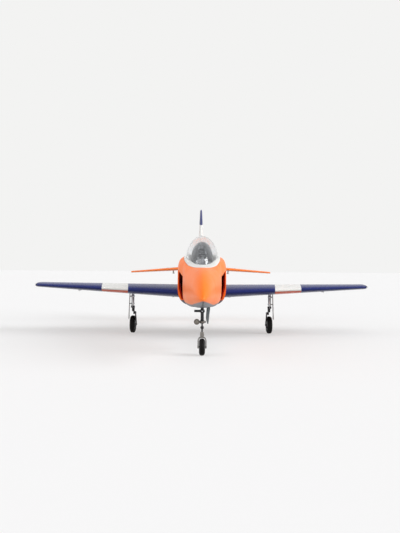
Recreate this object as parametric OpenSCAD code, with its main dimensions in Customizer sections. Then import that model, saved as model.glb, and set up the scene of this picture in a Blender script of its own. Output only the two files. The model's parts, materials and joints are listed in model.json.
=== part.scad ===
// Radio-controlled sport jet with a ducted fan, built up from separate foam,
// plastic, carbon and metal pieces.
//
// Frame: the nose points to -Y, +Z is up, +X is the aircraft's left side.
// The wheels stand on z = 0 and x = 0 is the plane of symmetry.
// Left pieces are modelled and right pieces are their mirror images.

/* [Body] */
// Station of the nose tip
nose_tip_y = -565; // [-600:1:-540]
// Height of the nose tip above the ground
nose_tip_z = 133; // [128:0.5:138]
// Width of the front body just ahead of the intakes
front_w = 95; // [88:1:102]
// Width across the intakes
body_w = 122; // [114:1:132]
// Lowest point of the belly above the ground
belly_z = 95; // [90:0.5:99]
// Height of the spine behind the canopy
spine_z = 226; // [221:1:234]
// Thickness of the foam skin
skin_t = 7; // [5:0.25:8]
// Station where the nose cone meets the front body
nose_joint_y = -455; // [-470:1:-440]
// Station where the front body meets the centre body
front_joint_y = -190; // [-192:0.5:-186]
// Station where the centre body meets the rear body
rear_joint_y = 150; // [144:1:160]
// Station of the tail end of the body
tail_end_y = 500; // [496:1:510]

/* [Intakes] */
// Wall thickness of each intake lip
lip_t = 2.4; // [1.8:0.1:3.4]
// Height of the bottom of the intake slot
slot_bottom_z = 112; // [109:0.5:115]
// Height of the top of the intake slot
slot_top_z = 181; // [177:0.5:184]

/* [Canopy] */
// Width of the canopy hatch
hatch_w = 90; // [86:1:93]
// Station of the widest part of the hatch
hatch_y = -175; // [-180:1:-170]
// Length of the hatch ahead of its widest part
hatch_front_l = 173; // [160:1:180]
// Length of the hatch behind its widest part
hatch_rear_l = 148; // [135:1:155]
// Highest point of the canopy glass
canopy_top_z = 270; // [262:1:276]
// Thickness of the clear canopy
glass_t = 1.2; // [0.8:0.1:2]
// Gap around the hatch
hatch_gap = 0.4; // [0.3:0.05:0.6]

/* [Wing] */
// Span over the tip lenses
span = 961; // [940:1:990]
// Chord of the wing at its root
root_chord = 262; // [250:1:272]
// Chord of the wing at its tip
tip_chord = 127; // [115:1:140]
// Greatest thickness at the root
root_t = 35; // [32:0.25:36]
// Greatest thickness at the tip
tip_t = 14; // [12.5:0.25:15.5]
// Height of the chord line at the root
root_z = 126.5; // [125.5:0.25:127.5]
// Height of the chord line at the tip
tip_z = 138.3; // [136.5:0.1:140.5]
// Station of the leading edge at the root
root_le_y = -122; // [-128:1:-118]
// Station of the leading edge at the tip
tip_le_y = 20; // [12:1:30]
// Length of each clear tip lens
lens_l = 10; // [6:0.5:14]
// Diameter of the carbon wing spar
spar_d = 8; // [6:0.5:8]
// Length of the carbon wing spar
spar_l = 440; // [380:5:450]
// Gap around flaps, ailerons, elevators and rudder
surface_gap = 0.5; // [0.4:0.05:0.8]

/* [Tail] */
// Span of the horizontal tail
tail_span = 496; // [482:2:520]
// Height of the horizontal tail at the centre
tail_root_z = 191.5; // [191:0.25:192]
// Height of the horizontal tail at its tips
tail_tip_z = 173.5; // [171:0.5:178]
// Height of the fin tip
fin_tip_z = 401; // [390:1:412]
// Thickness of the fin at its root
fin_root_t = 25; // [21:0.5:25]
// Thickness of the fin at its tip
fin_tip_t = 7; // [5:0.25:8]

/* [Fan] */
// Inside diameter of the fan housing
fan_d = 70; // [66:0.5:71]
// Height of the fan axis
fan_z = 160; // [158:0.5:161]
// Number of fan blades
blades = 12; // [6:1:12]
// Outside diameter of the exhaust end of the thrust tube
exhaust_d = 62; // [58:0.5:64]
// Height of the exhaust axis
exhaust_z = 153; // [152:0.5:154]

/* [Main gear] */
// Diameter of the main tyres
main_wheel_d = 50; // [46:0.5:51]
// Width of the main tyres
main_tyre_w = 15.8; // [14:0.2:16.4]
// Station of the main axles
main_axle_y = 60; // [58:0.5:61]
// Distance of each main strut from the middle of the aircraft
main_strut_x = 196.6; // [194:0.1:199]
// Diameter of the main strut tube
strut_d = 8; // [6.5:0.25:8.5]

/* [Nose gear] */
// Diameter of the nose tyre
nose_wheel_d = 37; // [34:0.5:38]
// Width of the nose tyre
nose_tyre_w = 13; // [11:0.2:13.4]
// Station of the nose leg
nose_leg_y = -360; // [-364:1:-358]
// Height of the retract pivot of the nose leg
nose_pivot_z = 121; // [120:0.5:123]
// Spring travel of the nose leg
nose_travel = 5; // [3:0.25:5]

/* [Hidden] */

// ---- Small helpers -------------------------------------------------------
eps = 0.02;
seat_gap = 0.3;
run_gap = 0.05;
far = 400;
section_steps = 44;

module left_right() {
    children();
    mirror([1, 0, 0]) children();
}
module right() {
    mirror([1, 0, 0]) children();
}
// A bar with its corners at two opposite points
module block(low, high) {
    translate(low) cube(high - low);
}
// A round bar along Y or X from one station to another
module bar_y(x, z, y0, y1, d) {
    translate([x, y0, z]) rotate([-90, 0, 0]) cylinder(h = y1 - y0, d = d, $fn = 40);
}
module bar_x(y, z, x0, x1, d) {
    translate([x0, y, z]) rotate([0, 90, 0]) cylinder(h = x1 - x0, d = d, $fn = 40);
}
module bar_z(x, y, z0, z1, d) {
    translate([x, y, z0]) cylinder(h = z1 - z0, d = d, $fn = 40);
}

// ---- Body shape ----------------------------------------------------------
// Each station: y, half width, bottom, widest height, top, then how round the
// upper and lower halves are: 1 is an ellipse, less is squarer, more is pointed.
front_hw = front_w / 2;
body_hw = body_w / 2;
waist_z = 150;
// Where the shoulders over the intakes start, and the top of the intake lips
shoulder_y = -262;
lip_y = -216;
core_stations = [
    [nose_tip_y, 0.8, nose_tip_z - 0.8, nose_tip_z, nose_tip_z + 0.8, 1.1, 1],
    [nose_tip_y + 6, 4.6, nose_tip_z - 3.5, nose_tip_z + 1.5, nose_tip_z + 8, 1.3, 1],
    [nose_tip_y + 18, 9.2, nose_tip_z - 7, nose_tip_z + 4, nose_tip_z + 17, 1.3, 1],
    [-530, 13.8, 122.5, 140.5, 160, 1.2, 0.95],
    [-508, 18, 119, 143, 170.5, 1.15, 0.9],
    [-482, 22, 115.5, 145, 180, 1.08, 0.85],
    [nose_joint_y, 25.5, 112.5, 146.5, 186.5, 1, 0.8],
    [-425, 30, 109.5, 148, 189.3, 0.93, 0.78],
    [-390, 35, 106, 149, 190.3, 0.8, 0.74],
    [-350, 39.5, 103, waist_z, 191, 0.6, 0.7],
    [-300, front_hw - 4, 100, waist_z, 197.5, 0.38, 0.63],
    [-250, front_hw - 1.3, belly_z + 2, waist_z, 210.5, 0.33, 0.55],
    [front_joint_y, front_hw, belly_z, waist_z, 214, 0.36, 0.5],
    [-110, front_hw, belly_z, waist_z, 219, 0.36, 0.5]
];
full_stations = [
    [shoulder_y, front_hw - 1.9, belly_z + 2.7, waist_z, 207.4, 0.34, 0.57],
    [-240, body_hw - 10, belly_z + 2, waist_z, 212, 0.36, 0.62],
    [lip_y, body_hw - 4, belly_z + 1.3, waist_z, 214, 0.37, 0.65],
    [-203, body_hw - 1.8, belly_z + 0.8, waist_z, 215.5, 0.36, 0.64],
    [-185, body_hw - 0.6, belly_z + 0.3, waist_z, 218, 0.34, 0.62],
    [-150, body_hw - 0.2, belly_z, waist_z, 220.5, 0.33, 0.6],
    [-100, body_hw, belly_z, waist_z, spine_z - 3.5, 0.33, 0.6],
    [-30, body_hw, belly_z, waist_z, spine_z - 1, 0.36, 0.62],
    [50, body_hw, belly_z, waist_z, spine_z, 0.48, 0.65],
    [rear_joint_y, body_hw - 2, belly_z + 4, waist_z, spine_z - 2, 0.6, 0.72],
    [230, body_hw - 6, belly_z + 9, waist_z, 220, 0.73, 0.8],
    [310, body_hw - 11.5, belly_z + 15, 151, 215, 0.84, 0.86],
    [390, body_hw - 17, belly_z + 20.5, 152, 210, 0.92, 0.92],
    [455, body_hw - 22.5, belly_z + 24, exhaust_z, 205.5, 0.94, 0.96],
    [480, body_hw - 25, belly_z + 25, exhaust_z, 199, 0.97, 1],
    [tail_end_y, body_hw - 27, exhaust_z - 33.5, exhaust_z, exhaust_z + 35, 1, 1]
];
function column(table, c) = [for (s = table) [s[0], s[c]]];
function station(table, y) = [y, for (c = [1:6]) lookup(y, column(table, c))];
function outline(s, inset) = [
    for (i = [0:section_steps - 1])
        let (
            a = 360 * i / section_steps,
            up = sin(a) >= 0,
            power = up ? s[5] : s[6],
            side_power = min(power, 1),
            reach = up ? s[4] - inset - s[3] : s[3] - s[2] - inset
        )
        [
            sign(cos(a)) * (s[1] - inset) * pow(abs(cos(a)), power),
            s[3] + sign(sin(a)) * reach * pow(abs(sin(a)), side_power)
        ]
];
// A thin slice of the body that reaches back (-1) or on (1) from its station
module slice(table, y, inset, way) {
    translate([0, way > 0 ? y + eps : y, 0]) rotate([90, 0, 0])
        linear_extrude(eps) polygon(outline(station(table, y), inset));
}
// The body between two stations, its surface moved in by inset
module body_loft(table, y0, y1, inset = 0) {
    stops = [y0, for (s = table) if (s[0] > y0 + 1 && s[0] < y1 - 1) s[0], y1];
    for (i = [0:len(stops) - 2]) {
        hull() {
            slice(table, stops[i], inset, 1);
            slice(table, stops[i + 1], inset, -1);
        }
    }
}

// ---- Hatch and canopy ----------------------------------------------------
ledge_z = 186.5;
frame_rise = 1.5;
glass_inset = 4.5;
glass_front_gap = 38;
glass_base_front_z = 188;
glass_base_rear_z = 228;
tub_floor_t = 3;
hatch_front_y = hatch_y - hatch_front_l;
hatch_rear_y = hatch_y + hatch_rear_l;

// The oval of the hatch, moved in by inset and its front end back by front_gap
module hatch_outline(inset, front_gap) {
    front_l = hatch_front_l - front_gap;
    points = [
        for (a = [0:6:354])
            [
                (hatch_w / 2 - inset) * cos(a),
                hatch_y + ((sin(a) < 0 ? front_l : hatch_rear_l) - inset) * sin(a)
            ]
    ];
    polygon(points);
}
module hatch_prism(inset, z0, z1, front_gap = 0) {
    translate([0, 0, z0]) linear_extrude(z1 - z0) hatch_outline(inset, front_gap);
}
// The body surface under the hatch, raised by rise
module deck(rise) {
    translate([0, 0, rise]) {
        body_loft(core_stations, hatch_front_y - 10, shoulder_y);
        body_loft(full_stations, shoulder_y, hatch_rear_y + 10);
    }
}
function glass_base(y) = glass_base_front_z
    + (glass_base_rear_z - glass_base_front_z) * (y - hatch_front_y)
    / (hatch_rear_y - hatch_front_y);
// Half an oval of canopy at angle a along its length, thinned by inset
module glass_slice(a, inset) {
    l = (a < 0 ? hatch_front_l - glass_front_gap : hatch_rear_l) - glass_inset - inset;
    y = hatch_y + l * sin(a);
    w = (hatch_w / 2 - glass_inset - inset) * cos(a);
    h = (canopy_top_z - glass_base(hatch_y) - inset) * pow(cos(a), 0.9);
    arch = [for (b = [0:9:180]) [w * cos(b), glass_base(y) + h * pow(sin(b), 0.97)]];
    translate([0, y, 0]) rotate([90, 0, 0]) linear_extrude(eps)
        polygon(concat(arch, [[-w, ledge_z + 1], [w, ledge_z + 1]]));
}
module glass_loft(inset) {
    angles = [-86, -76, -64, -50, -34, -17, 0, 18, 36, 52, 66, 77, 86];
    for (i = [0:len(angles) - 2]) {
        hull() {
            glass_slice(angles[i], inset);
            glass_slice(angles[i + 1], inset);
        }
    }
}
module canopy_frame() {
    color("white") difference() {
        intersection() {
            hatch_prism(0, ledge_z + seat_gap + tub_floor_t, far);
            deck(frame_rise);
        }
        hatch_prism(glass_inset + glass_t + 0.4, 0, far, glass_front_gap);
    }
}
module canopy_glass() {
    color([0.75, 0.8, 0.85, 0.4]) difference() {
        glass_loft(0);
        glass_loft(glass_t);
        deck(frame_rise);
    }
}
seat_y = -165;
coaming_y = -250;
deck_inset = 8.5;
dome_hw = 29;
dome_z = 212;
dome_rise = 45.5;
module cockpit_tub() {
    floor_z = ledge_z + seat_gap;
    color("dimgray") {
        hatch_prism(0.5, floor_z, floor_z + tub_floor_t);
        // Seat pan, back and head rest
        hull() {
            block([-14, seat_y - 42, floor_z + tub_floor_t], [14, seat_y + 8, floor_z + 15]);
            block([-12, seat_y - 2, floor_z + 15], [12, seat_y + 8, floor_z + 48]);
        }
        hull() {
            block([-9, seat_y + 2, floor_z + 48], [9, seat_y + 12, floor_z + 50]);
            block([-7, seat_y + 4, floor_z + 62], [7, seat_y + 12, floor_z + 64]);
        }
        // Instrument panel under its coaming
        hull() {
            block([-24, coaming_y, floor_z + tub_floor_t], [24, coaming_y + 4, floor_z + 18]);
            block([-15, coaming_y - 22, floor_z + tub_floor_t], [15, coaming_y, floor_z + 24]);
        }
        // Domed bulkhead and deck behind the seat, under the glass
        intersection() {
            glass_loft(deck_inset);
            hull() {
                translate([0, seat_y + 14, dome_z]) rotate([-90, 0, 0])
                    scale([dome_hw, dome_rise, 1]) cylinder(h = far, r = 1, $fn = 48);
                block([-dome_hw, seat_y + 14, floor_z + 1], [dome_hw, far, dome_z]);
            }
        }
    }
}
magnet_d = 10;
magnet_t = 3;
magnet_x = 37.5;
module hatch_magnets() {
    color("silver") left_right() {
        bar_z(magnet_x, hatch_y, ledge_z - magnet_t, ledge_z, magnet_d);
    }
}

// ---- Body pieces ---------------------------------------------------------
bay_right_x = -21.5;
bay_left_x = 16.4;
bay_front_y = nose_leg_y - 25;
bay_rear_y = nose_leg_y + nose_pivot_z - nose_wheel_d / 2 + 22;
bay_top_z = nose_pivot_z + 23;
bay_wall = 1.5;
core_cavity_end_y = -112;
former_t = 8;
tube_clear = 0.3;
scoop_lean = 17.5;
roof_z = slot_top_z - 9;
roof_slope = 1.26;
roof_lap = 0.3;

// Everything ahead of the leaning plane of the intake lips
module lip_cut() {
    translate([0, lip_y, 214]) rotate([scoop_lean, 0, 0])
        block([-far, -far, -far], [far, 0, far]);
}
// Everything above the sloping roofs of the intakes, ahead of the front joint
module shoulder_room() {
    translate([0, front_joint_y, 0]) rotate([90, 0, 0])
        linear_extrude(front_joint_y - shoulder_y + 2) polygon([
            [front_hw, roof_z], [front_hw + 25, roof_z + 25 * roof_slope],
            [front_hw + 25, far], [-front_hw - 25, far],
            [-front_hw - 25, roof_z + 25 * roof_slope], [-front_hw, roof_z]]);
}
module shoulders() {
    intersection() {
        body_loft(full_stations, shoulder_y, front_joint_y + 1);
        shoulder_room();
    }
}
module bay_pocket() {
    block([bay_right_x - bay_wall, bay_front_y - bay_wall, 0],
        [bay_left_x + bay_wall, bay_rear_y + bay_wall, bay_top_z + bay_wall]);
}
module nose_cone() {
    color("darkorange") difference() {
        body_loft(core_stations, nose_tip_y, nose_joint_y);
        body_loft(core_stations, -515, nose_joint_y - former_t, skin_t);
        bar_y(0, waist_z, nose_joint_y - former_t - 1, nose_joint_y + 1, 24);
    }
}
module fuselage_front() {
    color("orange") difference() {
        union() {
            body_loft(core_stations, nose_joint_y, front_joint_y);
            shoulders();
        }
        body_loft(core_stations, nose_joint_y + former_t, front_joint_y + 1, skin_t);
        bar_y(0, waist_z, nose_joint_y - 1, nose_joint_y + former_t + 1, 24);
        hatch_prism(-hatch_gap, ledge_z, far);
        bay_pocket();
        left_right() magnet_pocket();
    }
}
module magnet_pocket() {
    bar_z(magnet_x, hatch_y, ledge_z - magnet_t, ledge_z + 1, magnet_d + 0.4);
}
// The air passage inside one intake, from its lip to the duct
slot_in_x = front_hw - 6.5;
slot_out_x = front_hw + 3.6;
slot_lip_x = front_hw + 12.5;
duct_low_z = slot_bottom_z + 16;
module intake_passage() {
    intersection() {
        difference() {
            body_loft(full_stations, lip_y, -170, lip_t);
            body_loft(core_stations, -240, -160);
        }
        rotate([90, 0, 0]) translate([0, 0, 165]) linear_extrude(60)
            polygon([[front_hw - 12, slot_bottom_z - 3], [front_hw + 3, slot_bottom_z + 1],
                [slot_lip_x, waist_z],
                [slot_lip_x, roof_z + roof_lap + roof_slope * (slot_lip_x - front_hw)],
                [front_hw, roof_z + roof_lap], [front_hw - 12, roof_z + roof_lap]]);
    }
    hull() {
        rotate([90, 0, 0]) translate([0, 0, 170]) linear_extrude(1)
            polygon([[front_hw + 0.2, slot_bottom_z + 8], [front_hw + 2.5, slot_bottom_z + 8],
                [slot_lip_x - 4, waist_z], [slot_lip_x - 4, slot_top_z - 3],
                [front_hw + 0.2, slot_top_z - 3]]);
        block([slot_in_x, -111, duct_low_z], [slot_out_x, -109, slot_top_z]);
    }
}
module wing_pocket() {
    left_right() wing_blank();
}
module fuselage_centre() {
    color("darkorange") difference() {
        union() {
            body_loft(core_stations, front_joint_y, -140);
            difference() {
                body_loft(full_stations, lip_y, rear_joint_y);
                lip_cut();
                shoulder_room();
            }
        }
        body_loft(core_stations, -240, front_joint_y);
        body_loft(core_stations, front_joint_y - 1, core_cavity_end_y + 1, skin_t + 3);
        body_loft(full_stations, core_cavity_end_y, rear_joint_y + 1, skin_t);
        left_right() intake_passage();
        hatch_prism(-hatch_gap, ledge_z, far);
        wing_pocket();
        spar_hole();
        left_right() magnet_pocket();
    }
}
stab_slot_gap = 0.05;
module fuselage_rear() {
    middle_y = (rear_joint_y + tail_end_y) / 2;
    color("white") difference() {
        body_loft(full_stations, rear_joint_y, tail_end_y);
        body_loft(full_stations, rear_joint_y + former_t, middle_y, skin_t);
        body_loft(full_stations, middle_y + former_t, 375, skin_t);
        thrust_tube_solid(tube_clear);
        tail_blank(stab_slot_gap);
        intersection() {
            fin_blank();
            block([-far, 0, 0], [far, rudder_low_y, far]);
        }
    }
}
module nose_bay() {
    color("gray") {
        difference() {
            intersection() {
                bay_pocket();
                body_loft(core_stations, nose_joint_y, front_joint_y);
            }
            block([bay_right_x, bay_front_y, 0], [bay_left_x, bay_rear_y, bay_top_z]);
        }
        at_door() door_lugs();
    }
}

// ---- Fan and ducts -------------------------------------------------------
fan_front_y = 75;
fan_rear_y = 135;
housing_t = 1.3;
duct_t = 1.2;
duct_start_y = core_cavity_end_y + 0.3;
duct_turn_y = -30;
duct_top_z = ledge_z - duct_t - 0.5;
tip_gap = 0.3;
ear_y = 100;
ear_x = station(full_stations, ear_y + 6)[1] - skin_t - seat_gap - 0.2;
motor_d = 28;
motor_mount_t = 1.5;
rotor_y = 84;
rotor_l = 16;
shaft_d = 5;

module duct_block(x0, x1, y, z0, z1, grow) {
    block([x0 - grow, y - eps, z0 - grow], [x1 + grow, y, z1 + grow]);
}
module duct_side(grow) {
    extra = grow > 0 ? 0 : 0.1;
    hull() {
        duct_block(slot_in_x + 1.3, slot_out_x - 1.3, duct_start_y - extra,
            duct_low_z + 2, slot_top_z - 2, grow);
        duct_block(16, 48, duct_turn_y, 138, duct_top_z, grow);
    }
    hull() {
        duct_block(16, 48, duct_turn_y, 138, duct_top_z, grow);
        bar_y(0, fan_z, fan_front_y - eps, fan_front_y + extra, fan_d + 2 * grow);
    }
}
module inlet_duct() {
    color("black") difference() {
        left_right() duct_side(duct_t);
        left_right() duct_side(0);
        block([-far, -far, 0], [far, duct_start_y - 2 * eps, far]);
    }
}
module fan_housing() {
    r = fan_d / 2;
    color("black") {
        difference() {
            union() {
                bar_y(0, fan_z, fan_front_y, fan_rear_y, fan_d + 2 * housing_t);
                bar_y(0, fan_z, fan_front_y, fan_front_y + 3, fan_d + 2 * housing_t + 5);
                left_right() block([r, ear_y, fan_z - 6], [ear_x, ear_y + 6, fan_z + 6]);
            }
            bar_y(0, fan_z, fan_front_y - 1, fan_rear_y + 1, fan_d);
        }
        difference() {
            bar_y(0, fan_z, rotor_y + rotor_l + 3, fan_rear_y - 2, motor_d + 2 * motor_mount_t);
            bar_y(0, fan_z, rotor_y + rotor_l + 5, fan_rear_y, motor_d);
            bar_y(0, fan_z, rotor_y, fan_rear_y, shaft_d + 2);
        }
        for (a = [18:72:306]) {
            translate([0, 0, fan_z]) rotate([0, a, 0])
                block([motor_d / 2 + 0.8, 108, -0.9], [r + 0.5, 128, 0.9]);
        }
    }
}
module fan_motor() {
    start_y = rotor_y + rotor_l + 5;
    color("silver") {
        bar_y(0, fan_z, start_y, start_y + 30, motor_d);
        bar_y(0, fan_z, rotor_y + 2, start_y, shaft_d);
    }
}
module fan_rotor() {
    hub_d = motor_d + 2;
    color("dimgray") {
        difference() {
            union() {
                bar_y(0, fan_z, rotor_y, rotor_y + rotor_l, hub_d);
                translate([0, rotor_y, fan_z]) rotate([90, 0, 0])
                    cylinder(h = 16, d1 = hub_d, d2 = 8, $fn = 40);
                intersection() {
                    for (a = [0:360 / blades:359]) {
                        translate([0, rotor_y + rotor_l / 2, fan_z]) rotate([0, a, 0])
                            translate([hub_d / 2 - 1, 0, 0]) rotate([38, 0, 0])
                            block([0, -8, -0.6], [fan_d / 2, 8, 0.6]);
                    }
                    bar_y(0, fan_z, rotor_y, rotor_y + rotor_l, fan_d - 2 * tip_gap);
                }
            }
            bar_y(0, fan_z, rotor_y + 1.9, rotor_y + rotor_l + 1, shaft_d + 2 * run_gap);
        }
    }
}
tube_t = 1;
outlet_l = 12;
outlet_step = 0.3;
outlet_lap = 1.5;
// The thrust tube as a solid: it tapers and sinks into the level ring of its outlet
module thrust_tube_solid(grow) {
    start_y = fan_rear_y - 2;
    outlet_y = tail_end_y - outlet_l;
    l = outlet_y + outlet_lap - start_y;
    sink = atan((fan_z - exhaust_z) / l);
    translate([0, start_y, fan_z]) rotate([-90 - sink, 0, 0])
        cylinder(h = l / cos(sink), d1 = fan_d + 2 * housing_t + 2 * grow,
            d2 = exhaust_d - 2 * outlet_step + 2 * grow, $fn = 72);
    bar_y(0, exhaust_z, outlet_y, tail_end_y + 1, exhaust_d + 2 * grow);
}
module thrust_tube() {
    color("silver") difference() {
        thrust_tube_solid(0);
        thrust_tube_solid(-tube_t);
        block([-far, fan_rear_y - 20, 0], [far, fan_rear_y, far]);
        block([-far, tail_end_y, 0], [far, far + 200, far]);
    }
}

// ---- Wing ----------------------------------------------------------------
root_x = 52;
panel_tip_x = span / 2 - lens_l;
airfoil_peak = 0.4106;
airfoil_steps = 13;

// Full thickness of a section of unit thickness, at share s of its chord
function fullness(s) = pow(max(s, 0), 0.5) * pow(max(1 - s, 0), 0.85) / airfoil_peak;
function chord_share(i) = (1 - cos(180 * i / airfoil_steps)) / 2;
function airfoil(chord, t) = concat(
    [for (i = [airfoil_steps:-1:0]) let (s = chord_share(i)) [s * chord, t / 2 * fullness(s)]],
    [for (i = [1:airfoil_steps - 1]) let (s = chord_share(i)) [s * chord, -t / 2 * fullness(s)]]
);
function mix(a, b, f) = a + (b - a) * f;
function wing_share(x) = (x - root_x) / (panel_tip_x - root_x);
function wing_le(x) = mix(root_le_y, tip_le_y, wing_share(x));
function wing_chord(x) = mix(root_chord, tip_chord, wing_share(x));
function wing_t(x) = mix(root_t, tip_t, wing_share(x));
function wing_z(x) = mix(root_z, tip_z, wing_share(x));
function wing_half_t(x, y) = wing_t(x) / 2 * fullness((y - wing_le(x)) / wing_chord(x));

module foil_slice(x, le, z, chord, t) {
    translate([x, le, z]) rotate([90, 0, 90]) linear_extrude(eps) polygon(airfoil(chord, t));
}
module wing_slice(x) {
    foil_slice(x, wing_le(x), wing_z(x), wing_chord(x), wing_t(x));
}
module wing_blank() {
    hull() {
        wing_slice(root_x);
        wing_slice(panel_tip_x - eps);
    }
}

// The hinge line of flap and aileron, from the root to the tip
hinge_in = [root_x + 14, 94];
hinge_out = [panel_tip_x, 117];
hinge_start = [hinge_in[0], hinge_in[1], wing_z(hinge_in[0])];
hinge_reach = [hinge_out[0] - hinge_in[0], hinge_out[1] - hinge_in[1],
    wing_z(hinge_out[0]) - wing_z(hinge_in[0])];
hinge_l = norm(hinge_reach);
hinge_sweep = atan2(hinge_reach[1], hinge_reach[0]);
hinge_rise = asin(hinge_reach[2] / hinge_l);
hinge_in_r = wing_half_t(hinge_in[0], hinge_in[1]);
hinge_out_r = wing_half_t(hinge_out[0], hinge_out[1]);
nose_share = 0.95;
cove_back = 2.5;
flap_start = 1.5;
flap_end = 235.5;
aileron_start = 236.5;
aileron_end = hinge_l - 13.4;

module at_hinge() {
    translate(hinge_start) rotate([0, -hinge_rise, hinge_sweep]) children();
}
// A cone about the hinge line, between two distances from its start
module hinge_cone(l0, l1, share, grow) {
    r0 = share * mix(hinge_in_r, hinge_out_r, l0 / hinge_l) + grow;
    r1 = share * mix(hinge_in_r, hinge_out_r, l1 / hinge_l) + grow;
    translate([l0, 0, 0]) rotate([0, 90, 0]) cylinder(h = l1 - l0, r1 = r0, r2 = r1, $fn = 48);
}
module panel_cut(l0, l1) {
    at_hinge() {
        block([l0, -cove_back, -30], [l1, 90, 30]);
        hinge_cone(l0, l1, 1, surface_gap);
    }
}
module panel(l0, l1) {
    intersection() {
        wing_blank();
        at_hinge() {
            block([l0, 0, -30], [l1, 90, 30]);
            hinge_cone(l0, l1, nose_share, 0);
        }
    }
}

// A control linkage, in the frame of a hinge line: a servo arm and a horn of
// the same length, joined by a rod, so that the rod stays parallel
arm_t = 2;
rod_d = 1.3;
pin_d = 1.5;
pin_head = 0.2;
pin_gap = 0.2;
rod_gap = 1.2;
slot_gap = 0.6;
slot_reach = 11;
aileron_link = [284, 60, 12];
flap_link = [62, 30, 14];
servo_size = [22, 23, 12];
servo_shaft_y = 6;
servo_gap = 0.2;

// A plate of the linkage's radius that hangs from its axis, with a hole at its tip
module link_plate(radius) {
    difference() {
        hull() {
            rotate([0, 90, 0]) cylinder(h = arm_t, d = 6, $fn = 32);
            translate([0, 0, -radius]) rotate([0, 90, 0]) cylinder(h = arm_t, d = 4, $fn = 32);
        }
        translate([-1, 0, -radius]) rotate([0, 90, 0])
            cylinder(h = arm_t + 2, d = pin_d + 2 * pin_gap, $fn = 32);
    }
}
// In the frame of the hinge line: the horn, its slot in the fixed part ahead, and
// the rod that runs to the servo with a pin at each end
module link_horn(link) {
    translate([link[0], 0, 0]) link_plate(link[2]);
}
module horn_slot(link) {
    block([link[0] - slot_gap, -slot_reach, -20], [link[0] + arm_t + slot_gap, 0, 0]);
}
module link_rod(link) {
    x = link[0] - rod_gap - pin_d / 2;
    translate([x, -link[1], -link[2]]) rotate([-90, 0, 0]) cylinder(h = link[1], d = rod_d, $fn = 24);
    for (y = [-link[1], 0]) {
        translate([x - pin_d / 2 - pin_head, y, -link[2]]) rotate([0, 90, 0])
            cylinder(h = arm_t + pin_d + 2 * rod_gap + pin_head, d = pin_d, $fn = 24);
    }
}
// In the frame of the servo's shaft: a servo lying on its side, its boss and its room
module servo_case(size, grow) {
    block([arm_t + 0.3 - grow, servo_shaft_y - size[1] - grow, -size[2] / 2 - grow],
        [arm_t + 0.3 + size[0] + grow, servo_shaft_y + grow, size[2] / 2 + grow]);
}
module servo_boss() {
    translate([arm_t + 0.05, 0, 0]) rotate([0, 90, 0]) cylinder(h = 0.4, d = 4, $fn = 32);
}
module servo_pocket(size, reach) {
    hull() {
        servo_case(size, servo_gap);
        translate([0, 0, -20]) servo_case(size, servo_gap);
    }
    block([-4, -16, -20], [arm_t + 0.5, reach, 4]);
}
function hinge_point(link) = hinge_start
    + link[0] * hinge_reach / hinge_l
    + link[1] * [sin(hinge_sweep), -cos(hinge_sweep), 0];
module at_servo(link) {
    translate(hinge_point(link)) children();
}

// ---- Main gear places ----------------------------------------------------
main_pivot_z = root_z + 0.5;
main_axle_z = main_wheel_d / 2;
strut_y = main_axle_y - 22;
leg_l = main_pivot_z - main_axle_z;
wheel_x = main_strut_x + 2;
folded_x = main_strut_x - leg_l;
well_gap = 2;
cheek_t = 3;
trunnion_hw = 7.5;
pivot_pin_d = 3;
retract_top_z = main_pivot_z + 7;

module wheel_well() {
    bar_z(folded_x, main_axle_y, 60, main_pivot_z - 2 + main_tyre_w / 2 + 1.5,
        main_wheel_d + 2 * well_gap);
    // Room for the trailing arm above the wheel, and for its pivot
    block([folded_x - 5, strut_y - 8, 60], [arm_pivot_folded_x + 14, main_axle_y + 5,
        main_pivot_z + arm_out + 1.5]);
    block([folded_x, strut_y - trunnion_hw - 3.5, 60],
        [main_strut_x + 4, strut_y + trunnion_hw + 3.5, main_pivot_z + 6.8]);
    block([main_strut_x - 6, strut_y - trunnion_hw - 3.5, 60],
        [main_strut_x + 41, strut_y + trunnion_hw + 3.5, retract_top_z + seat_gap]);
}
screw_places = [[78, -25], [78, 15]];
screw_d = 3;
module screw_holes() {
    for (p = screw_places) bar_z(p[0], p[1], 100, wing_z(p[0]) + 4, screw_d);
}
module spar_hole() {
    bar_x(spar_y, spar_z, -spar_l / 2 - 0.5, spar_l / 2 + 0.5, spar_d + 2 * run_gap);
}
module wing() {
    color("midnightblue") difference() {
        wing_blank();
        panel_cut(flap_start - surface_gap, aileron_end + surface_gap);
        at_hinge() {
            horn_slot(aileron_link);
            horn_slot(flap_link);
        }
        at_servo(aileron_link) servo_pocket(servo_size, 19);
        at_servo(flap_link) servo_pocket(servo_size, 19);
        spar_hole();
        wheel_well();
        screw_holes();
    }
}
module wing_left() {
    wing();
}
module wing_right() {
    right() wing();
}
spar_y = -45;
spar_z = 126.5;
module wing_spar() {
    color("black") bar_x(spar_y, spar_z, -spar_l / 2, spar_l / 2, spar_d);
}
module wing_screws() {
    color("silver") left_right() {
        for (p = screw_places) {
            low = wing_z(p[0]) - wing_half_t(p[0], p[1]);
            bar_z(p[0], p[1], low, wing_z(p[0]) + 4, screw_d);
            bar_z(p[0], p[1], low - 1.6, low - 0.1, 2 * screw_d);
            bar_z(p[0], p[1], low - 0.2, low + 0.1, screw_d);
        }
    }
}
module wingtip_lenses() {
    x = panel_tip_x;
    color([0.8, 0.8, 0.85, 0.6]) left_right() {
        hull() {
            wing_slice(x);
            foil_slice(x + 0.65 * lens_l, tip_le_y + 7, tip_z, tip_chord - 10, 0.78 * tip_t);
            foil_slice(x + lens_l - eps, tip_le_y + 22, tip_z, tip_chord - 30, 0.35 * tip_t);
        }
    }
}
module aileron() {
    color("midnightblue") {
        panel(aileron_start, aileron_end);
        at_hinge() link_horn(aileron_link);
    }
}
module aileron_left() {
    aileron();
}
module aileron_right() {
    right() aileron();
}
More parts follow.
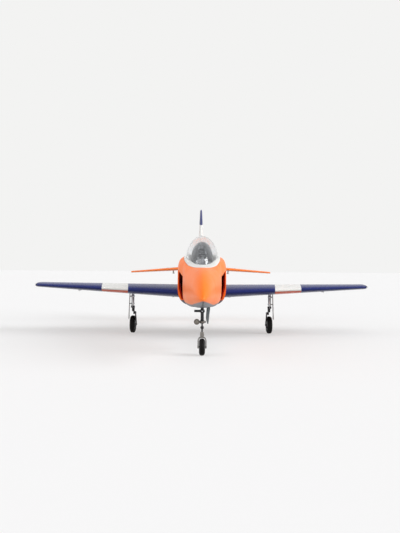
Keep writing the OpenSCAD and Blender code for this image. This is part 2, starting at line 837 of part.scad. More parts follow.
module flap() {
    color("midnightblue") {
        panel(flap_start, flap_end);
        at_hinge() link_horn(flap_link);
    }
}
module flap_left() {
    flap();
}
module flap_right() {
    right() flap();
}
module aileron_rod_left() {
    color("silver") at_hinge() link_rod(aileron_link);
}
module aileron_rod_right() {
    color("silver") right() at_hinge() link_rod(aileron_link);
}
module aileron_servo_arm_left() {
    color("white") at_servo(aileron_link) link_plate(aileron_link[2]);
}
module aileron_servo_arm_right() {
    color("white") right() at_servo(aileron_link) link_plate(aileron_link[2]);
}
module flap_rods() {
    color("silver") left_right() at_hinge() link_rod(flap_link);
}
module flap_servo_arms() {
    color("white") left_right() at_servo(flap_link) link_plate(flap_link[2]);
}

// ---- Tail ----------------------------------------------------------------
tail_root_le_y = 355;
tail_root_chord = 140;
tail_tip_le_y = 425;
tail_tip_chord = 70;
tail_root_t = 15;
tail_tip_t = 6;
elevator_hinge_y = 466;
elevator_in_x = 46;
elevator_out_x = tail_span / 2 - 8;
elevator_link = [52, 42, 15];
tail_servo_size = [22, 20, 8];

function tail_share(x) = x / (tail_span / 2);
function tail_z(x) = mix(tail_root_z, tail_tip_z, tail_share(x));
function tail_half_t(x) = let (
        f = tail_share(x),
        le = mix(tail_root_le_y, tail_tip_le_y, f),
        chord = mix(tail_root_chord, tail_tip_chord, f)
    )
    mix(tail_root_t, tail_tip_t, f) / 2 * fullness((elevator_hinge_y - le) / chord);
elevator_droop = atan((tail_root_z - tail_tip_z) / (tail_span / 2));

module tail_half(grow) {
    hull() {
        foil_slice(-eps, tail_root_le_y - grow, tail_root_z, tail_root_chord + 2 * grow,
            tail_root_t + 2 * grow);
        foil_slice(tail_span / 2 - eps, tail_tip_le_y - grow, tail_tip_z,
            tail_tip_chord + 2 * grow, tail_tip_t + 2 * grow);
    }
}
module tail_blank(grow) {
    left_right() tail_half(grow);
}
module at_elevator() {
    translate([elevator_in_x, elevator_hinge_y, tail_z(elevator_in_x)])
        rotate([0, elevator_droop, 0]) children();
}
module at_tail_servo() {
    translate([
        elevator_in_x + elevator_link[0] * cos(elevator_droop),
        elevator_hinge_y - elevator_link[1],
        tail_z(elevator_in_x) - elevator_link[0] * sin(elevator_droop)
    ]) children();
}
elevator_l = (elevator_out_x - elevator_in_x) / cos(elevator_droop);
module elevator_cone(share, grow, over) {
    r0 = share * tail_half_t(elevator_in_x) + grow;
    r1 = share * tail_half_t(elevator_out_x) + grow;
    translate([-over, 0, 0]) rotate([0, 90, 0])
        cylinder(h = elevator_l + 2 * over, r1 = r0, r2 = r1, $fn = 40);
}
module stabiliser() {
    color("orange") difference() {
        tail_blank(0);
        left_right() at_elevator() {
            block([-surface_gap, -1.5, -20], [elevator_l + surface_gap, 60, 20]);
            elevator_cone(1, surface_gap, surface_gap);
            horn_slot(elevator_link);
        }
        left_right() at_tail_servo() servo_pocket(tail_servo_size, 12);
        thrust_tube_solid(tube_clear);
        block([-elevator_in_x, tail_end_y - 12, 0], [elevator_in_x, far + 200, far]);
    }
}
module elevator() {
    color("orange") {
        intersection() {
            tail_half(0);
            at_elevator() {
                block([0, 0, -20], [elevator_l, 60, 20]);
                elevator_cone(nose_share, 0, 0);
            }
        }
        at_elevator() link_horn(elevator_link);
    }
}
module elevator_left() {
    elevator();
}
module elevator_right() {
    right() elevator();
}
module elevator_rods() {
    color("silver") left_right() at_elevator() link_rod(elevator_link);
}
module elevator_servo_arms() {
    color("white") left_right() at_tail_servo() link_plate(elevator_link[2]);
}

fin_base_z = 199;
fin_root_le_y = 300;
fin_root_te_y = 520;
fin_tip_le_y = 452;
fin_tip_te_y = 566.3;
rudder_low_z = 207.5;
rudder_low_y = 474;
rudder_high_y = 530;
rudder_lean = atan((rudder_high_y - rudder_low_y) / (fin_tip_z - rudder_low_z));
rudder_l = (fin_tip_z - rudder_low_z) / cos(rudder_lean);

function fin_share(z) = (z - fin_base_z) / (fin_tip_z - fin_base_z);
function fin_half_t(y, z) = let (
        f = fin_share(z),
        le = mix(fin_root_le_y, fin_tip_le_y, f),
        te = mix(fin_root_te_y, fin_tip_te_y, f)
    )
    mix(fin_root_t, fin_tip_t, f) / 2 * fullness((y - le) / (te - le));
module fin_slice(z, le, te, t) {
    translate([0, le, z]) linear_extrude(eps)
        polygon([for (p = airfoil(te - le, t)) [p[1], p[0]]]);
}
module fin_blank() {
    hull() {
        fin_slice(fin_base_z, fin_root_le_y, fin_root_te_y, fin_root_t);
        fin_slice(fin_tip_z - 6, mix(fin_tip_le_y, fin_root_le_y, 0.028),
            mix(fin_tip_te_y, fin_root_te_y, 0.028), fin_tip_t);
    }
    hull() {
        fin_slice(fin_tip_z - 6, mix(fin_tip_le_y, fin_root_le_y, 0.028),
            mix(fin_tip_te_y, fin_root_te_y, 0.028), fin_tip_t);
        fin_slice(fin_tip_z - eps, fin_tip_le_y + 12, fin_tip_te_y - 4, 0.45 * fin_tip_t);
    }
}
module at_rudder() {
    translate([0, rudder_low_y, rudder_low_z]) rotate([-rudder_lean, 0, 0]) children();
}
module rudder_cone(share, grow, over) {
    r0 = share * fin_half_t(rudder_low_y, rudder_low_z) + grow;
    r1 = share * fin_half_t(rudder_high_y, fin_tip_z - 6) + grow;
    translate([0, 0, -over]) cylinder(h = rudder_l + 2 * over, r1 = r0, r2 = r1, $fn = 40);
}
module fin() {
    color("white") difference() {
        fin_blank();
        at_rudder() {
            block([-20, -2, -2], [20, 80, rudder_l + 20]);
            rudder_cone(1, surface_gap, 2);
        }
        block([-20, rudder_low_y - 2, 0], [20, far + 200, rudder_low_z]);
    }
}
module rudder() {
    color("midnightblue") intersection() {
        fin_blank();
        at_rudder() {
            block([-20, 0, 0], [20, 80, rudder_l + 20]);
            rudder_cone(nose_share, 0, 0);
        }
    }
}

// ---- Things inside the body ----------------------------------------------
tray_t = 2;
tray_front_y = -345;
tray_rear_y = -170;
battery_size = [40, 140, 34];
module battery_tray() {
    z = bay_top_z + bay_wall;
    color("goldenrod") {
        block([-27, tray_front_y, z], [27, tray_rear_y, z + tray_t]);
        block([-12, tray_rear_y - 2, belly_z + skin_t + 3.3 + seat_gap], [12, tray_rear_y, z]);
    }
}
module battery() {
    z = bay_top_z + bay_wall + tray_t;
    y = tray_front_y + 15;
    color("royalblue")
        block([-battery_size[0] / 2, y, z], [battery_size[0] / 2, y + battery_size[1],
            z + battery_size[2]]);
}
module speed_controller() {
    color("black") block([-14, -166, belly_z + 10.5], [14, -118, belly_z + 27]);
}
module receiver() {
    color("gray") block([-10, -222, belly_z + 10.6], [10, -180, belly_z + 24]);
}
module servos() {
    color("dimgray") {
        left_right() {
            at_servo(aileron_link) servo_case(servo_size, 0);
            at_servo(aileron_link) servo_boss();
            at_servo(flap_link) servo_case(servo_size, 0);
            at_servo(flap_link) servo_boss();
            at_tail_servo() servo_case(tail_servo_size, 0);
            at_tail_servo() servo_boss();
        }
        // Rudder servo on the thrust tube and steering servo ahead of the nose bay
        block([-11, 262, 192.7], [11, 285, 204.7]);
        block([-11, bay_front_y - 30, 117.6], [11, bay_front_y - 6, 139.6]);
    }
}

// ---- Main gear -----------------------------------------------------------
arm_pivot_z = 60;
arm_pivot_folded_x = main_strut_x - (main_pivot_z - arm_pivot_z);
arm_in = 6.2;
arm_out = 9.2;
arm_w = 8;
axle_d = 3;
knuckle_z = 77;
fork_low_z = 56;
cover_top_z = 115;
cover_low_z = 42;
cover_hw = 9;
cover_t = 1.2;

// Retract housings in the wing, with the pin that each strut folds about
module main_retracts() {
    color("dimgray") left_right() {
        for (side = [-1, 1]) {
            inner = strut_y + side * (trunnion_hw + seat_gap / 3);
            outer = inner + side * cheek_t;
            block([main_strut_x - 5, min(inner, outer), main_pivot_z - 6],
                [main_strut_x + 10, max(inner, outer), retract_top_z]);
        }
        block([main_strut_x + 10, strut_y - trunnion_hw - cheek_t, main_pivot_z - 7],
            [main_strut_x + 40, strut_y + trunnion_hw + cheek_t, retract_top_z]);
        bar_y(main_strut_x, main_pivot_z, strut_y - trunnion_hw - 2, strut_y + trunnion_hw + 2,
            pivot_pin_d);
    }
}
module main_strut() {
    x = main_strut_x;
    color("silver") difference() {
        union() {
            bar_y(x, main_pivot_z, strut_y - trunnion_hw, strut_y + trunnion_hw, 9);
            block([x - 4, strut_y - trunnion_hw, main_pivot_z - 11],
                [x + 4, strut_y + trunnion_hw, main_pivot_z]);
            bar_z(x, strut_y, knuckle_z, main_pivot_z - 8, strut_d);
            bar_z(x, strut_y, knuckle_z - 3, knuckle_z + 3, strut_d + 3.5);
            bar_z(x, strut_y, fork_low_z + 8, knuckle_z - 2, 3.5);
            // Forged leg that carries the pin of the trailing arm
            hull() {
                bar_z(x - 2.5, strut_y - 1, knuckle_z - 4, knuckle_z - 2, 6);
                block([x - arm_in + 0.2, strut_y - 4, fork_low_z], [x - 1, strut_y + 3, fork_low_z + 8]);
            }
            bar_x(strut_y, arm_pivot_z, x - arm_out - 0.8, x - arm_in + 1, axle_d);
            bar_x(strut_y, arm_pivot_z, x - arm_out - 1, x - arm_out - 0.2, axle_d + 2);
        }
        bar_y(x, main_pivot_z, strut_y - far, strut_y + far, pivot_pin_d + 2 * run_gap);
    }
}
module main_strut_left() {
    main_strut();
}
module main_strut_right() {
    right() main_strut();
}
module strut_cover() {
    top_x = main_strut_x + 8;
    low_x = wheel_x + main_tyre_w / 2 + 0.9;
    color("silver") {
        hull() {
            block([top_x, strut_y - cover_hw, cover_top_z - 1],
                [top_x + cover_t, strut_y + cover_hw, cover_top_z]);
            block([low_x, strut_y - cover_hw, cover_low_z],
                [low_x + cover_t, strut_y + cover_hw, cover_low_z + 1]);
        }
        for (z = [knuckle_z + 9, cover_top_z - 8]) {
            difference() {
                block([main_strut_x - 1, strut_y - 2, z - 2], [top_x + 1, strut_y + 2, z + 2]);
                bar_z(main_strut_x, strut_y, z - 3, z + 3, strut_d);
            }
        }
    }
}
module strut_cover_left() {
    strut_cover();
}
module strut_cover_right() {
    right() strut_cover();
}
module trailing_arm() {
    x = main_strut_x;
    color("silver") {
        difference() {
            hull() {
                bar_x(strut_y, arm_pivot_z, x - arm_out, x - arm_in, arm_w);
                bar_x(main_axle_y, main_axle_z, x - arm_out, x - arm_in, arm_w);
            }
            bar_x(strut_y, arm_pivot_z, x - arm_out - 1, x - arm_in + 1, axle_d + 2 * run_gap);
        }
        bar_x(main_axle_y, main_axle_z, x - arm_out, wheel_x + main_tyre_w / 2 - 1, axle_d);
    }
}
module trailing_arm_left() {
    trailing_arm();
}
module trailing_arm_right() {
    right() trailing_arm();
}
main_hub_d = 28;
module hub(x, y, z, d, w, bore) {
    color("silver") difference() {
        bar_x(y, z, x - w / 2, x + w / 2, d);
        bar_x(y, z, x - w, x + w, bore + 2 * run_gap);
        bar_x(y, z, x + w / 2 - 2, x + w, 0.78 * d);
    }
}
module tyre(x, y, z, d, w, rim_d) {
    r = w * 0.42;
    color([0.12, 0.11, 0.11]) translate([x, y, z]) rotate([0, 90, 0]) rotate_extrude($fn = 72)
        difference() {
            hull() {
                translate([d / 2 - r, 0]) circle(r = r, $fn = 32);
                translate([d / 2 - r, w / 2 - r]) circle(r = r, $fn = 32);
                translate([d / 2 - r, r - w / 2]) circle(r = r, $fn = 32);
                translate([rim_d / 2, 0]) square([0.1, 0.8 * w], center = true);
            }
            translate([-1, -w]) square([rim_d / 2 + 1, 2 * w]);
        }
}
module main_hub_left() {
    hub(wheel_x, main_axle_y, main_axle_z, main_hub_d, 0.8 * main_tyre_w, axle_d);
}
module main_hub_right() {
    right() main_hub_left();
}
module main_tyre_left() {
    tyre(wheel_x, main_axle_y, main_axle_z, main_wheel_d, main_tyre_w, main_hub_d);
}
module main_tyre_right() {
    right() main_tyre_left();
}

// ---- Nose gear -----------------------------------------------------------
nose_axle_z = nose_wheel_d / 2;
nose_trunnion_hw = 9;
nose_leg_d = 7.2;
slider_d = 4;
collar_z = 73;
spring_seat_z = 70 - nose_travel - 7;
nose_hub_d = 19;
nose_axle_d = 2.5;
fork_in = nose_tyre_w / 2 + 0.7;
fork_t = 2.55;
fork_top_z = nose_wheel_d + 1.2;
lamp_x = -11.8;
lamp_d = 12.6;

// Cheeks and pin under the roof of the bay, which the nose leg folds about
module nose_retract() {
    color("dimgray") {
        block([-15, nose_leg_y - 12, bay_top_z - 8], [15, nose_leg_y + 12, bay_top_z]);
        left_right() {
            block([nose_trunnion_hw + 0.1, nose_leg_y - 5, nose_pivot_z - 5],
                [nose_trunnion_hw + 4, nose_leg_y + 5, bay_top_z - 7]);
        }
        bar_x(nose_leg_y, nose_pivot_z, -nose_trunnion_hw - 3, nose_trunnion_hw + 3, pivot_pin_d);
    }
}
module nose_trunnion() {
    low_z = nose_pivot_z - 13;
    color("silver") difference() {
        union() {
            block([-nose_trunnion_hw, nose_leg_y - 5.5, low_z],
                [nose_trunnion_hw, nose_leg_y + 5.5, nose_pivot_z]);
            bar_x(nose_leg_y, nose_pivot_z, -nose_trunnion_hw, nose_trunnion_hw, 11);
        }
        bar_x(nose_leg_y, nose_pivot_z, -far, far, pivot_pin_d + 2 * run_gap);
        bar_z(0, nose_leg_y, low_z - 1, nose_pivot_z - 3, nose_leg_d - 2 + 2 * run_gap);
    }
}
// Upper leg with its steering arm and collar: it turns in the trunnion
module nose_leg() {
    top_z = nose_pivot_z - 13 - seat_gap;
    color([0.2, 0.2, 0.22]) difference() {
        union() {
            bar_z(0, nose_leg_y, nose_pivot_z - 14, nose_pivot_z - 3.2, nose_leg_d - 2);
            bar_z(0, nose_leg_y, collar_z + 3, top_z, nose_leg_d);
            bar_z(0, nose_leg_y, collar_z - 3, collar_z + 3.5, 10.4);
            block([-17.6, nose_leg_y - 2.5, 94.5], [5.4, nose_leg_y + 2.5, 99.5]);
        }
        bar_z(0, nose_leg_y, 0, spring_seat_z + 7 + 35, slider_d + 2 * run_gap);
        bar_z(-14.5, nose_leg_y, 90, 105, 2);
    }
}
module nose_lamp() {
    color("gray") {
        bar_y(lamp_x, collar_z + 1, nose_leg_y - 9, nose_leg_y - 1, lamp_d);
        difference() {
            block([lamp_x, nose_leg_y - 2, collar_z - 2], [-4, nose_leg_y + 2, collar_z + 2]);
            bar_z(0, nose_leg_y, 0, far, 10.4);
        }
    }
}
// Sliding rod, spring seat, lower cylinder and fork
module nose_fork() {
    color("silver") {
        bar_z(0, nose_leg_y, fork_top_z, spring_seat_z + 7 + 28, slider_d);
        bar_z(0, nose_leg_y, spring_seat_z, spring_seat_z + 6, 8);
        bar_z(0, nose_leg_y, fork_top_z, fork_top_z + 13, 9);
        block([-fork_in - fork_t, nose_leg_y - 5, fork_top_z],
            [fork_in + fork_t, nose_leg_y + 5, fork_top_z + 3]);
        left_right() {
            hull() {
                block([fork_in, nose_leg_y - 5, fork_top_z],
                    [fork_in + fork_t, nose_leg_y + 5, fork_top_z + 1]);
                bar_x(nose_leg_y, nose_axle_z, fork_in, fork_in + fork_t, 7);
            }
        }
        bar_x(nose_leg_y, nose_axle_z, -fork_in - fork_t, fork_in + fork_t, nose_axle_d);
    }
}
module nose_hub() {
    hub(0, nose_leg_y, nose_axle_z, nose_hub_d, 0.8 * nose_tyre_w, nose_axle_d);
}
module nose_tyre() {
    tyre(0, nose_leg_y, nose_axle_z, nose_wheel_d, nose_tyre_w, nose_hub_d);
}
door_hinge_x = bay_left_x - 0.9;
door_front_z = 103.9;
door_slope = 3.95;
door_open = 84;
door_t = 2;
door_rim = 4;
door_front_y = nose_leg_y + 12;
door_l = bay_rear_y - 1 - door_front_y;
door_w = door_hinge_x - bay_right_x - 0.9;
door_pin_d = 1.4;
lug_d = 3;
lug_l = 6;
lug_places = [14, door_l - 20];
module at_door() {
    translate([door_hinge_x, door_front_y, door_front_z]) rotate([-door_slope, 0, 0]) children();
}
// The lugs on the edge of the bay, which the door's pin turns in
module door_lugs() {
    for (y = lug_places) {
        difference() {
            union() {
                bar_y(0, 0, y, y + lug_l, lug_d);
                block([-0.6, y, 0], [1.8, y + lug_l, 8]);
            }
            bar_y(0, 0, y - 1, y + lug_l + 1, door_pin_d + 2 * run_gap);
        }
    }
}
// Shown open: it swings up about its edge to lie across the bay
module nose_door() {
    color("slategray") at_door() rotate([0, -door_open, 0]) {
        difference() {
            union() {
                block([-door_w, 0, -door_t], [0, door_l, 0]);
                // Stiffening rim along the hinge, and end plates that taper from it
                block([-door_t, 0, -door_t], [0, door_l, door_rim]);
                for (y = [0, door_l - door_t]) {
                    translate([0, y + door_t, 0]) rotate([90, 0, 0]) linear_extrude(door_t)
                        polygon([[0, -door_t], [0, door_rim], [11 - door_w, door_rim - 1],
                            [-door_w, 0], [-door_w, -door_t]]);
                }
            }
            for (y = lug_places)
                bar_y(0, 0, y - seat_gap, y + lug_l + seat_gap, lug_d + 1);
            for (y = lug_places)
                block([-2 * door_t, y - seat_gap, -door_t - 1],
                    [1, y + lug_l + seat_gap, door_rim + 1]);
        }
        bar_y(0, 0, 0, door_l, door_pin_d);
    }
}

nose_cone();
fuselage_front();
fuselage_centre();
fuselage_rear();
nose_bay();
canopy_frame();
canopy_glass();
cockpit_tub();
hatch_magnets();
inlet_duct();
fan_housing();
fan_motor();
fan_rotor();
thrust_tube();
wing_left();
wing_right();
wing_spar();
wing_screws();
wingtip_lenses();
aileron_left();
aileron_right();
flap_left();
flap_right();
aileron_rod_left();
aileron_rod_right();
aileron_servo_arm_left();
aileron_servo_arm_right();
flap_rods();
flap_servo_arms();
elevator_rods();
elevator_servo_arms();
stabiliser();
elevator_left();
elevator_right();
fin();
rudder();
battery();
battery_tray();
speed_controller();
receiver();
servos();
main_retracts();
main_strut_left();
main_strut_right();
strut_cover_left();
strut_cover_right();
trailing_arm_left();
trailing_arm_right();
main_hub_left();
main_hub_right();
main_tyre_left();
main_tyre_right();
nose_retract();
nose_trunnion();
nose_leg();
nose_lamp();
nose_fork();
nose_hub();
nose_tyre();
nose_door();
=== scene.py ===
import json
import math

import bpy
from mathutils import Matrix, Vector


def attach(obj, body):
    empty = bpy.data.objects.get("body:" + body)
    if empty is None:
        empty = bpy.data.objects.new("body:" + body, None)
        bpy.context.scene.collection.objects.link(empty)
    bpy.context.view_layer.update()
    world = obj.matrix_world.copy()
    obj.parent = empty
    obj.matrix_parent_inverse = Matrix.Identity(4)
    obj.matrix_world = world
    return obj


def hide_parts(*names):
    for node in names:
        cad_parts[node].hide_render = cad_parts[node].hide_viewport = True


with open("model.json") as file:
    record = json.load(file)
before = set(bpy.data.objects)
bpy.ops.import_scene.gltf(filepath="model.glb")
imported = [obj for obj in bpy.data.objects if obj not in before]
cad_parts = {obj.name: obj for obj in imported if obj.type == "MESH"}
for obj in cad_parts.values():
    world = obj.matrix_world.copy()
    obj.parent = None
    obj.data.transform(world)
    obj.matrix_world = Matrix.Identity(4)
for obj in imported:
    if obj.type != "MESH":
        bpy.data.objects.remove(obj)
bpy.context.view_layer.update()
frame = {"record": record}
bpy.ops.object.select_all(action="DESELECT")

MM = 0.001


# ---- Camera
EYE = (-0.010, -1.6, 0.194)
EYE_ROLL = math.radians(-0.43)
LENS_MM, SENSOR_MM, SHIFT_X = 38.4, 36.0, 0.00375


def stand_camera():
    """A level camera ahead of the nose, at the eye height of the view."""
    data = bpy.data.cameras.new("camera")
    data.lens, data.sensor_width, data.shift_x = LENS_MM, SENSOR_MM, SHIFT_X
    data.clip_start, data.clip_end = 0.05, 60
    camera = bpy.data.objects.new("camera", data)
    camera.location = EYE
    camera.rotation_euler = (math.radians(90), EYE_ROLL, 0)
    bpy.context.scene.collection.objects.link(camera)
    bpy.context.scene.camera = camera


stand_camera()


# ---- Modelling helpers
def active():
    return bpy.context.view_layer.objects.active


def take(piece):
    """Makes piece the only selected object."""
    bpy.ops.object.select_all(action="DESELECT")
    piece.select_set(True)
    bpy.context.view_layer.objects.active = piece


def settle(piece):
    """Puts the piece's place into its mesh."""
    take(piece)
    bpy.ops.object.transform_apply(location=True, rotation=True, scale=True)


def finish_modifiers(piece):
    take(piece)
    for modifier in list(piece.modifiers):
        bpy.ops.object.modifier_apply(modifier=modifier.name)


def in_edit(piece):
    take(piece)
    bpy.ops.object.mode_set(mode="EDIT")
    bpy.ops.mesh.select_all(action="SELECT")


def out_of_edit():
    bpy.ops.object.mode_set(mode="OBJECT")


def bevel(piece, width, segments=2, angle=35):
    """Rounds the piece's hard edges; width is in millimetres."""
    modifier = piece.modifiers.new("bevel", "BEVEL")
    modifier.width = width * MM
    modifier.segments = segments
    modifier.limit_method = "ANGLE"
    modifier.angle_limit = math.radians(angle)
    modifier.use_clamp_overlap = True
    finish_modifiers(piece)


def rounded_box(low, high, width, segments=2):
    piece = box(low, high)
    bevel(piece, width, segments, 30)
    return piece


def smooth(piece, angle=40):
    take(piece)
    bpy.ops.object.shade_smooth_by_angle(angle=math.radians(angle))


def paint(piece, material, angle=38):
    """Gives one part its material and smooth faces before it is joined."""
    smooth(piece, angle)
    piece.data.materials.clear()
    piece.data.materials.append(material)
    return piece


def cut(piece, cutter, operation="DIFFERENCE"):
    """Cuts piece by cutter, or joins them, and takes the cutter away."""
    modifier = piece.modifiers.new("cut", "BOOLEAN")
    modifier.operation = operation
    modifier.solver = "EXACT"
    modifier.object = cutter
    finish_modifiers(piece)
    bpy.data.objects.remove(cutter)
    return piece


def join(name, pieces):
    bpy.ops.object.select_all(action="DESELECT")
    for piece in pieces:
        piece.select_set(True)
    bpy.context.view_layer.objects.active = pieces[0]
    if len(pieces) > 1:
        bpy.ops.object.join()
    pieces[0].name = name
    return pieces[0]


def mirrored(piece, name):
    """The same piece for the other side, with its own mesh."""
    twin = piece.copy()
    twin.data = piece.data.copy()
    twin.name = name
    bpy.context.scene.collection.objects.link(twin)
    twin.data.transform(Matrix.Scale(-1, 4, Vector((1, 0, 0))))
    twin.data.flip_normals()
    return twin


def box(low, high):
    """A block between two corners, in millimetres."""
    size = [(b - a) * MM for a, b in zip(low, high)]
    centre = [(a + b) / 2 * MM for a, b in zip(low, high)]
    bpy.ops.mesh.primitive_cube_add(size=1, location=centre)
    piece = active()
    piece.scale = size
    settle(piece)
    return piece


TURNS = {"X": (0, math.radians(90), 0), "Y": (math.radians(-90), 0, 0), "Z": (0, 0, 0)}


def rod(axis, centre, d, l, vertices=32, d_end=None):
    """A round bar along an axis about its centre, in millimetres."""
    place = [c * MM for c in centre]
    if d_end is None:
        bpy.ops.mesh.primitive_cylinder_add(
            vertices=vertices, radius=d / 2 * MM, depth=l * MM, location=place,
            rotation=TURNS[axis])
    else:
        bpy.ops.mesh.primitive_cone_add(
            vertices=vertices, radius1=d / 2 * MM, radius2=d_end / 2 * MM, depth=l * MM,
            location=place, rotation=TURNS[axis])
    piece = active()
    settle(piece)
    return piece


def between(start, end, d, vertices=20):
    """A round bar from one point to another, in millimetres."""
    a, b = Vector(start) * MM, Vector(end) * MM
    turn = (b - a).to_track_quat("Z", "Y").to_euler()
    bpy.ops.mesh.primitive_cylinder_add(
        vertices=vertices, radius=d / 2 * MM, depth=(b - a).length,
        location=(a + b) / 2, rotation=turn)
    piece = active()
    settle(piece)
    return piece


def circle(count):
    """Cosine and sine all the way round, in count steps."""
    return [(math.cos(a), math.sin(a)) for a in [2 * math.pi * i / count for i in range(count)]]


def half_circle(count):
    """Cosine and sine over half a turn, both ends included."""
    return [(math.cos(a), math.sin(a)) for a in [math.pi * i / count for i in range(count + 1)]]


def power_of(value, power):
    """A cosine or sine to a power, with its sign: below 1 it squares a circle."""
    return math.copysign(abs(value) ** power, value)


def skin(name, rings):
    """A closed form through rings of points, made from a grid primitive."""
    bpy.ops.mesh.primitive_grid_add(
        x_subdivisions=len(rings[0]), y_subdivisions=len(rings) - 1, size=1)
    piece = active()
    piece.name = name
    piece.location = (0, 0, 0)
    points = [p for ring in rings for p in (*ring, ring[0])]
    piece.data.vertices.foreach_set("co", [c * MM for p in points for c in p])
    piece.data.update()
    in_edit(piece)
    bpy.ops.mesh.remove_doubles(threshold=1e-6)
    bpy.ops.mesh.fill_holes(sides=0)
    bpy.ops.mesh.normals_make_consistent(inside=False)
    out_of_edit()
    return piece


def spun(axis, centre, profile, steps=64):
    """A turned piece: profile is a list of (radius, along) in millimetres."""
    rings = []
    for c, s in circle(steps):
        places = [{"X": (along, r * c, r * s), "Y": (r * c, along, r * s),
                   "Z": (r * c, r * s, along)}[axis] for r, along in profile]
        rings.append([[a + b for a, b in zip(centre, p)] for p in places])
    return skin("turned", rings + rings[:1])


BODY_OF = {n: b for b, ns in frame["record"]["behaviour"]["bodies"].items() for n in ns}


def dress(piece, node, material=None):
    """Gives a piece its material, its body and the node it stands for."""
    if material:
        piece.data.materials.clear()
        piece.data.materials.append(material)
    piece.name = node + "_skin"
    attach(piece, BODY_OF[node])
    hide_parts(node)
    return piece


# ---- Materials
class Tree:
    """Short ways to add nodes to a node tree and to link them."""

    def __init__(self, tree):
        self.tree = tree

    def node(self, kind, sources=(), **settings):
        """A new node, with sources for its first inputs, or for those a dict names."""
        node = self.tree.nodes.new(kind)
        for key, value in settings.items():
            setattr(node, key, value)
        for key, source in sources.items() if isinstance(sources, dict) else enumerate(sources):
            self.put(source, node.inputs[key])
        return node

    def link(self, source, target):
        self.tree.links.new(source, target)

    def put(self, source, target):
        """Links a socket, or sets a number or colour."""
        if isinstance(source, (int, float)):
            target.default_value = source
        elif isinstance(source, (tuple, list)):
            target.default_value = (*source[:3], 1.0) if len(target.default_value) == 4 else source
        else:
            self.link(source, target)

    def math(self, operation, a, b=0.0):
        return self.node("ShaderNodeMath", (a, b), operation=operation).outputs[0]

    def blend(self, share, first, second, output):
        """Mixes two shaders by share and sends them to the tree's output."""
        mix = self.node("ShaderNodeMixShader", (share, first.outputs[0], second.outputs[0]))
        self.link(mix.outputs[0], self.tree.nodes[output].inputs["Surface"])


class Recipe(Tree):
    """Builds one procedural material on Object coordinates."""

    def __init__(self, name):
        self.material = bpy.data.materials.new(name)
        self.material.use_nodes = True
        super().__init__(self.material.node_tree)
        self.shader = self.tree.nodes["Principled BSDF"]
        self.place = self.node("ShaderNodeTexCoord").outputs["Object"]
        self.x, self.y, self.z = self.node("ShaderNodeSeparateXYZ", (self.place,)).outputs

    def add(self, a, b):
        return self.math("ADD", a, b)

    def minus(self, a, b):
        return self.math("SUBTRACT", a, b)

    def times(self, a, b):
        return self.math("MULTIPLY", a, b)

    def step(self, value, edge, soft):
        """0 below the edge and 1 above it, over a soft width."""
        return self.span(value, 0.0, 1.0, edge - soft / 2, edge + soft / 2)

    def band(self, value, low, high, soft):
        return self.times(self.step(value, low, soft),
                          self.minus(1.0, self.step(value, high, soft)))

    def noise(self, scale, detail=3.0, roughness=0.5, stretch=None):
        place = self.place
        if stretch:
            mapping = self.node("ShaderNodeMapping", {"Vector": place, "Scale": stretch})
            place = mapping.outputs[0]
        return self.node("ShaderNodeTexNoise", {
            "Vector": place, "Scale": scale, "Detail": detail, "Roughness": roughness}).outputs[0]

    def beads(self, scale):
        return self.node("ShaderNodeTexVoronoi", {"Vector": self.place, "Scale": scale},
                         feature="SMOOTH_F1").outputs["Distance"]

    def mix(self, share, a, b, **settings):
        node = self.node("ShaderNodeMix", {0: share, 6: a, 7: b}, data_type="RGBA", **settings)
        return node.outputs[2]

    def shade(self, colour, share):
        """The colour made darker or lighter about 1 by a share socket."""
        grey = self.node("ShaderNodeCombineColor", (share,) * 3).outputs[0]
        return self.mix(1.0, colour, grey, blend_type="MULTIPLY")

    def span(self, value, low, high, start=0.0, end=1.0):
        """Takes start..end to low..high."""
        return self.node("ShaderNodeMapRange", (value, start, end, low, high)).outputs[0]

    def bump(self, height, strength, distance):
        node = self.node("ShaderNodeBump", {
            "Height": height, "Strength": strength, "Distance": distance})
        self.link(node.outputs[0], self.shader.inputs["Normal"])

    def set(self, **values):
        for key, value in values.items():
            self.put(value, self.shader.inputs[key.replace("_", " ")])


def srgb(r, g, b):
    """A linear colour from display values of 0 to 255."""
    return tuple(c / 255 / 12.92 if c / 255 <= 0.04045 else ((c / 255 + 0.055) / 1.055) ** 2.4
                 for c in (r, g, b))


ORANGE = srgb(250, 120, 26)
ORANGE_DEEP = srgb(222, 88, 48)
WHITE = srgb(217, 217, 214)
NAVY = srgb(33, 42, 100)
BELLY = srgb(112, 113, 120)
KEEL_SEAM = srgb(46, 48, 54)
# Painted shade for the intakes: the body's orange paint made a darker red on the slots' walls, and
# darker still deeper in
INTAKE_SHADED_WALL, INTAKE_DEEP_SHADE = srgb(250, 92, 44), srgb(240, 60, 36)
# The belly's edge, in metres: where its curve runs, its points and what stands for 1
BELLY_FROM, BELLY_TO, CURVE_TOP = -0.565, -0.20, 0.2
BELLY_ENDS = (0.1312, 0.111)
BELLY_POINTS = ((0.1, 0.1265), (0.3, 0.1192), (0.452, 0.114), (0.59, 0.112))
# The other painted edges, in metres, and how much the bands lean
REAR_LEAN, REAR_WHITE, REAR_NAVY = 0.9, -0.035, (0.04, 0.105)
SEAM_HALF, SEAM_END = 0.0011, 0.40
WING_BAND, FIN_BORDER, BAND_SLANT = (0.2070, 0.2790), 0.292, 0.12


def painted_foam(name, colour_of, rough=(0.34, 0.44), specular=0.25):
    """Moulded bead foam under satin paint. colour_of(recipe) gives its colour."""
    r = Recipe(name)
    fine = r.noise(900, 2)
    cells = r.beads(230)
    broad = r.noise(9, 3)
    shade = r.add(r.span(broad, -0.035, 0.035), r.span(cells, 1.015, 0.985))
    r.set(Base_Color=r.shade(colour_of(r), shade), Specular_IOR_Level=specular,
          Roughness=r.span(r.noise(60, 4), *rough))
    r.bump(r.add(r.times(cells, 0.8), r.times(fine, 0.12)), 0.22, 0.0006)
    return r.material


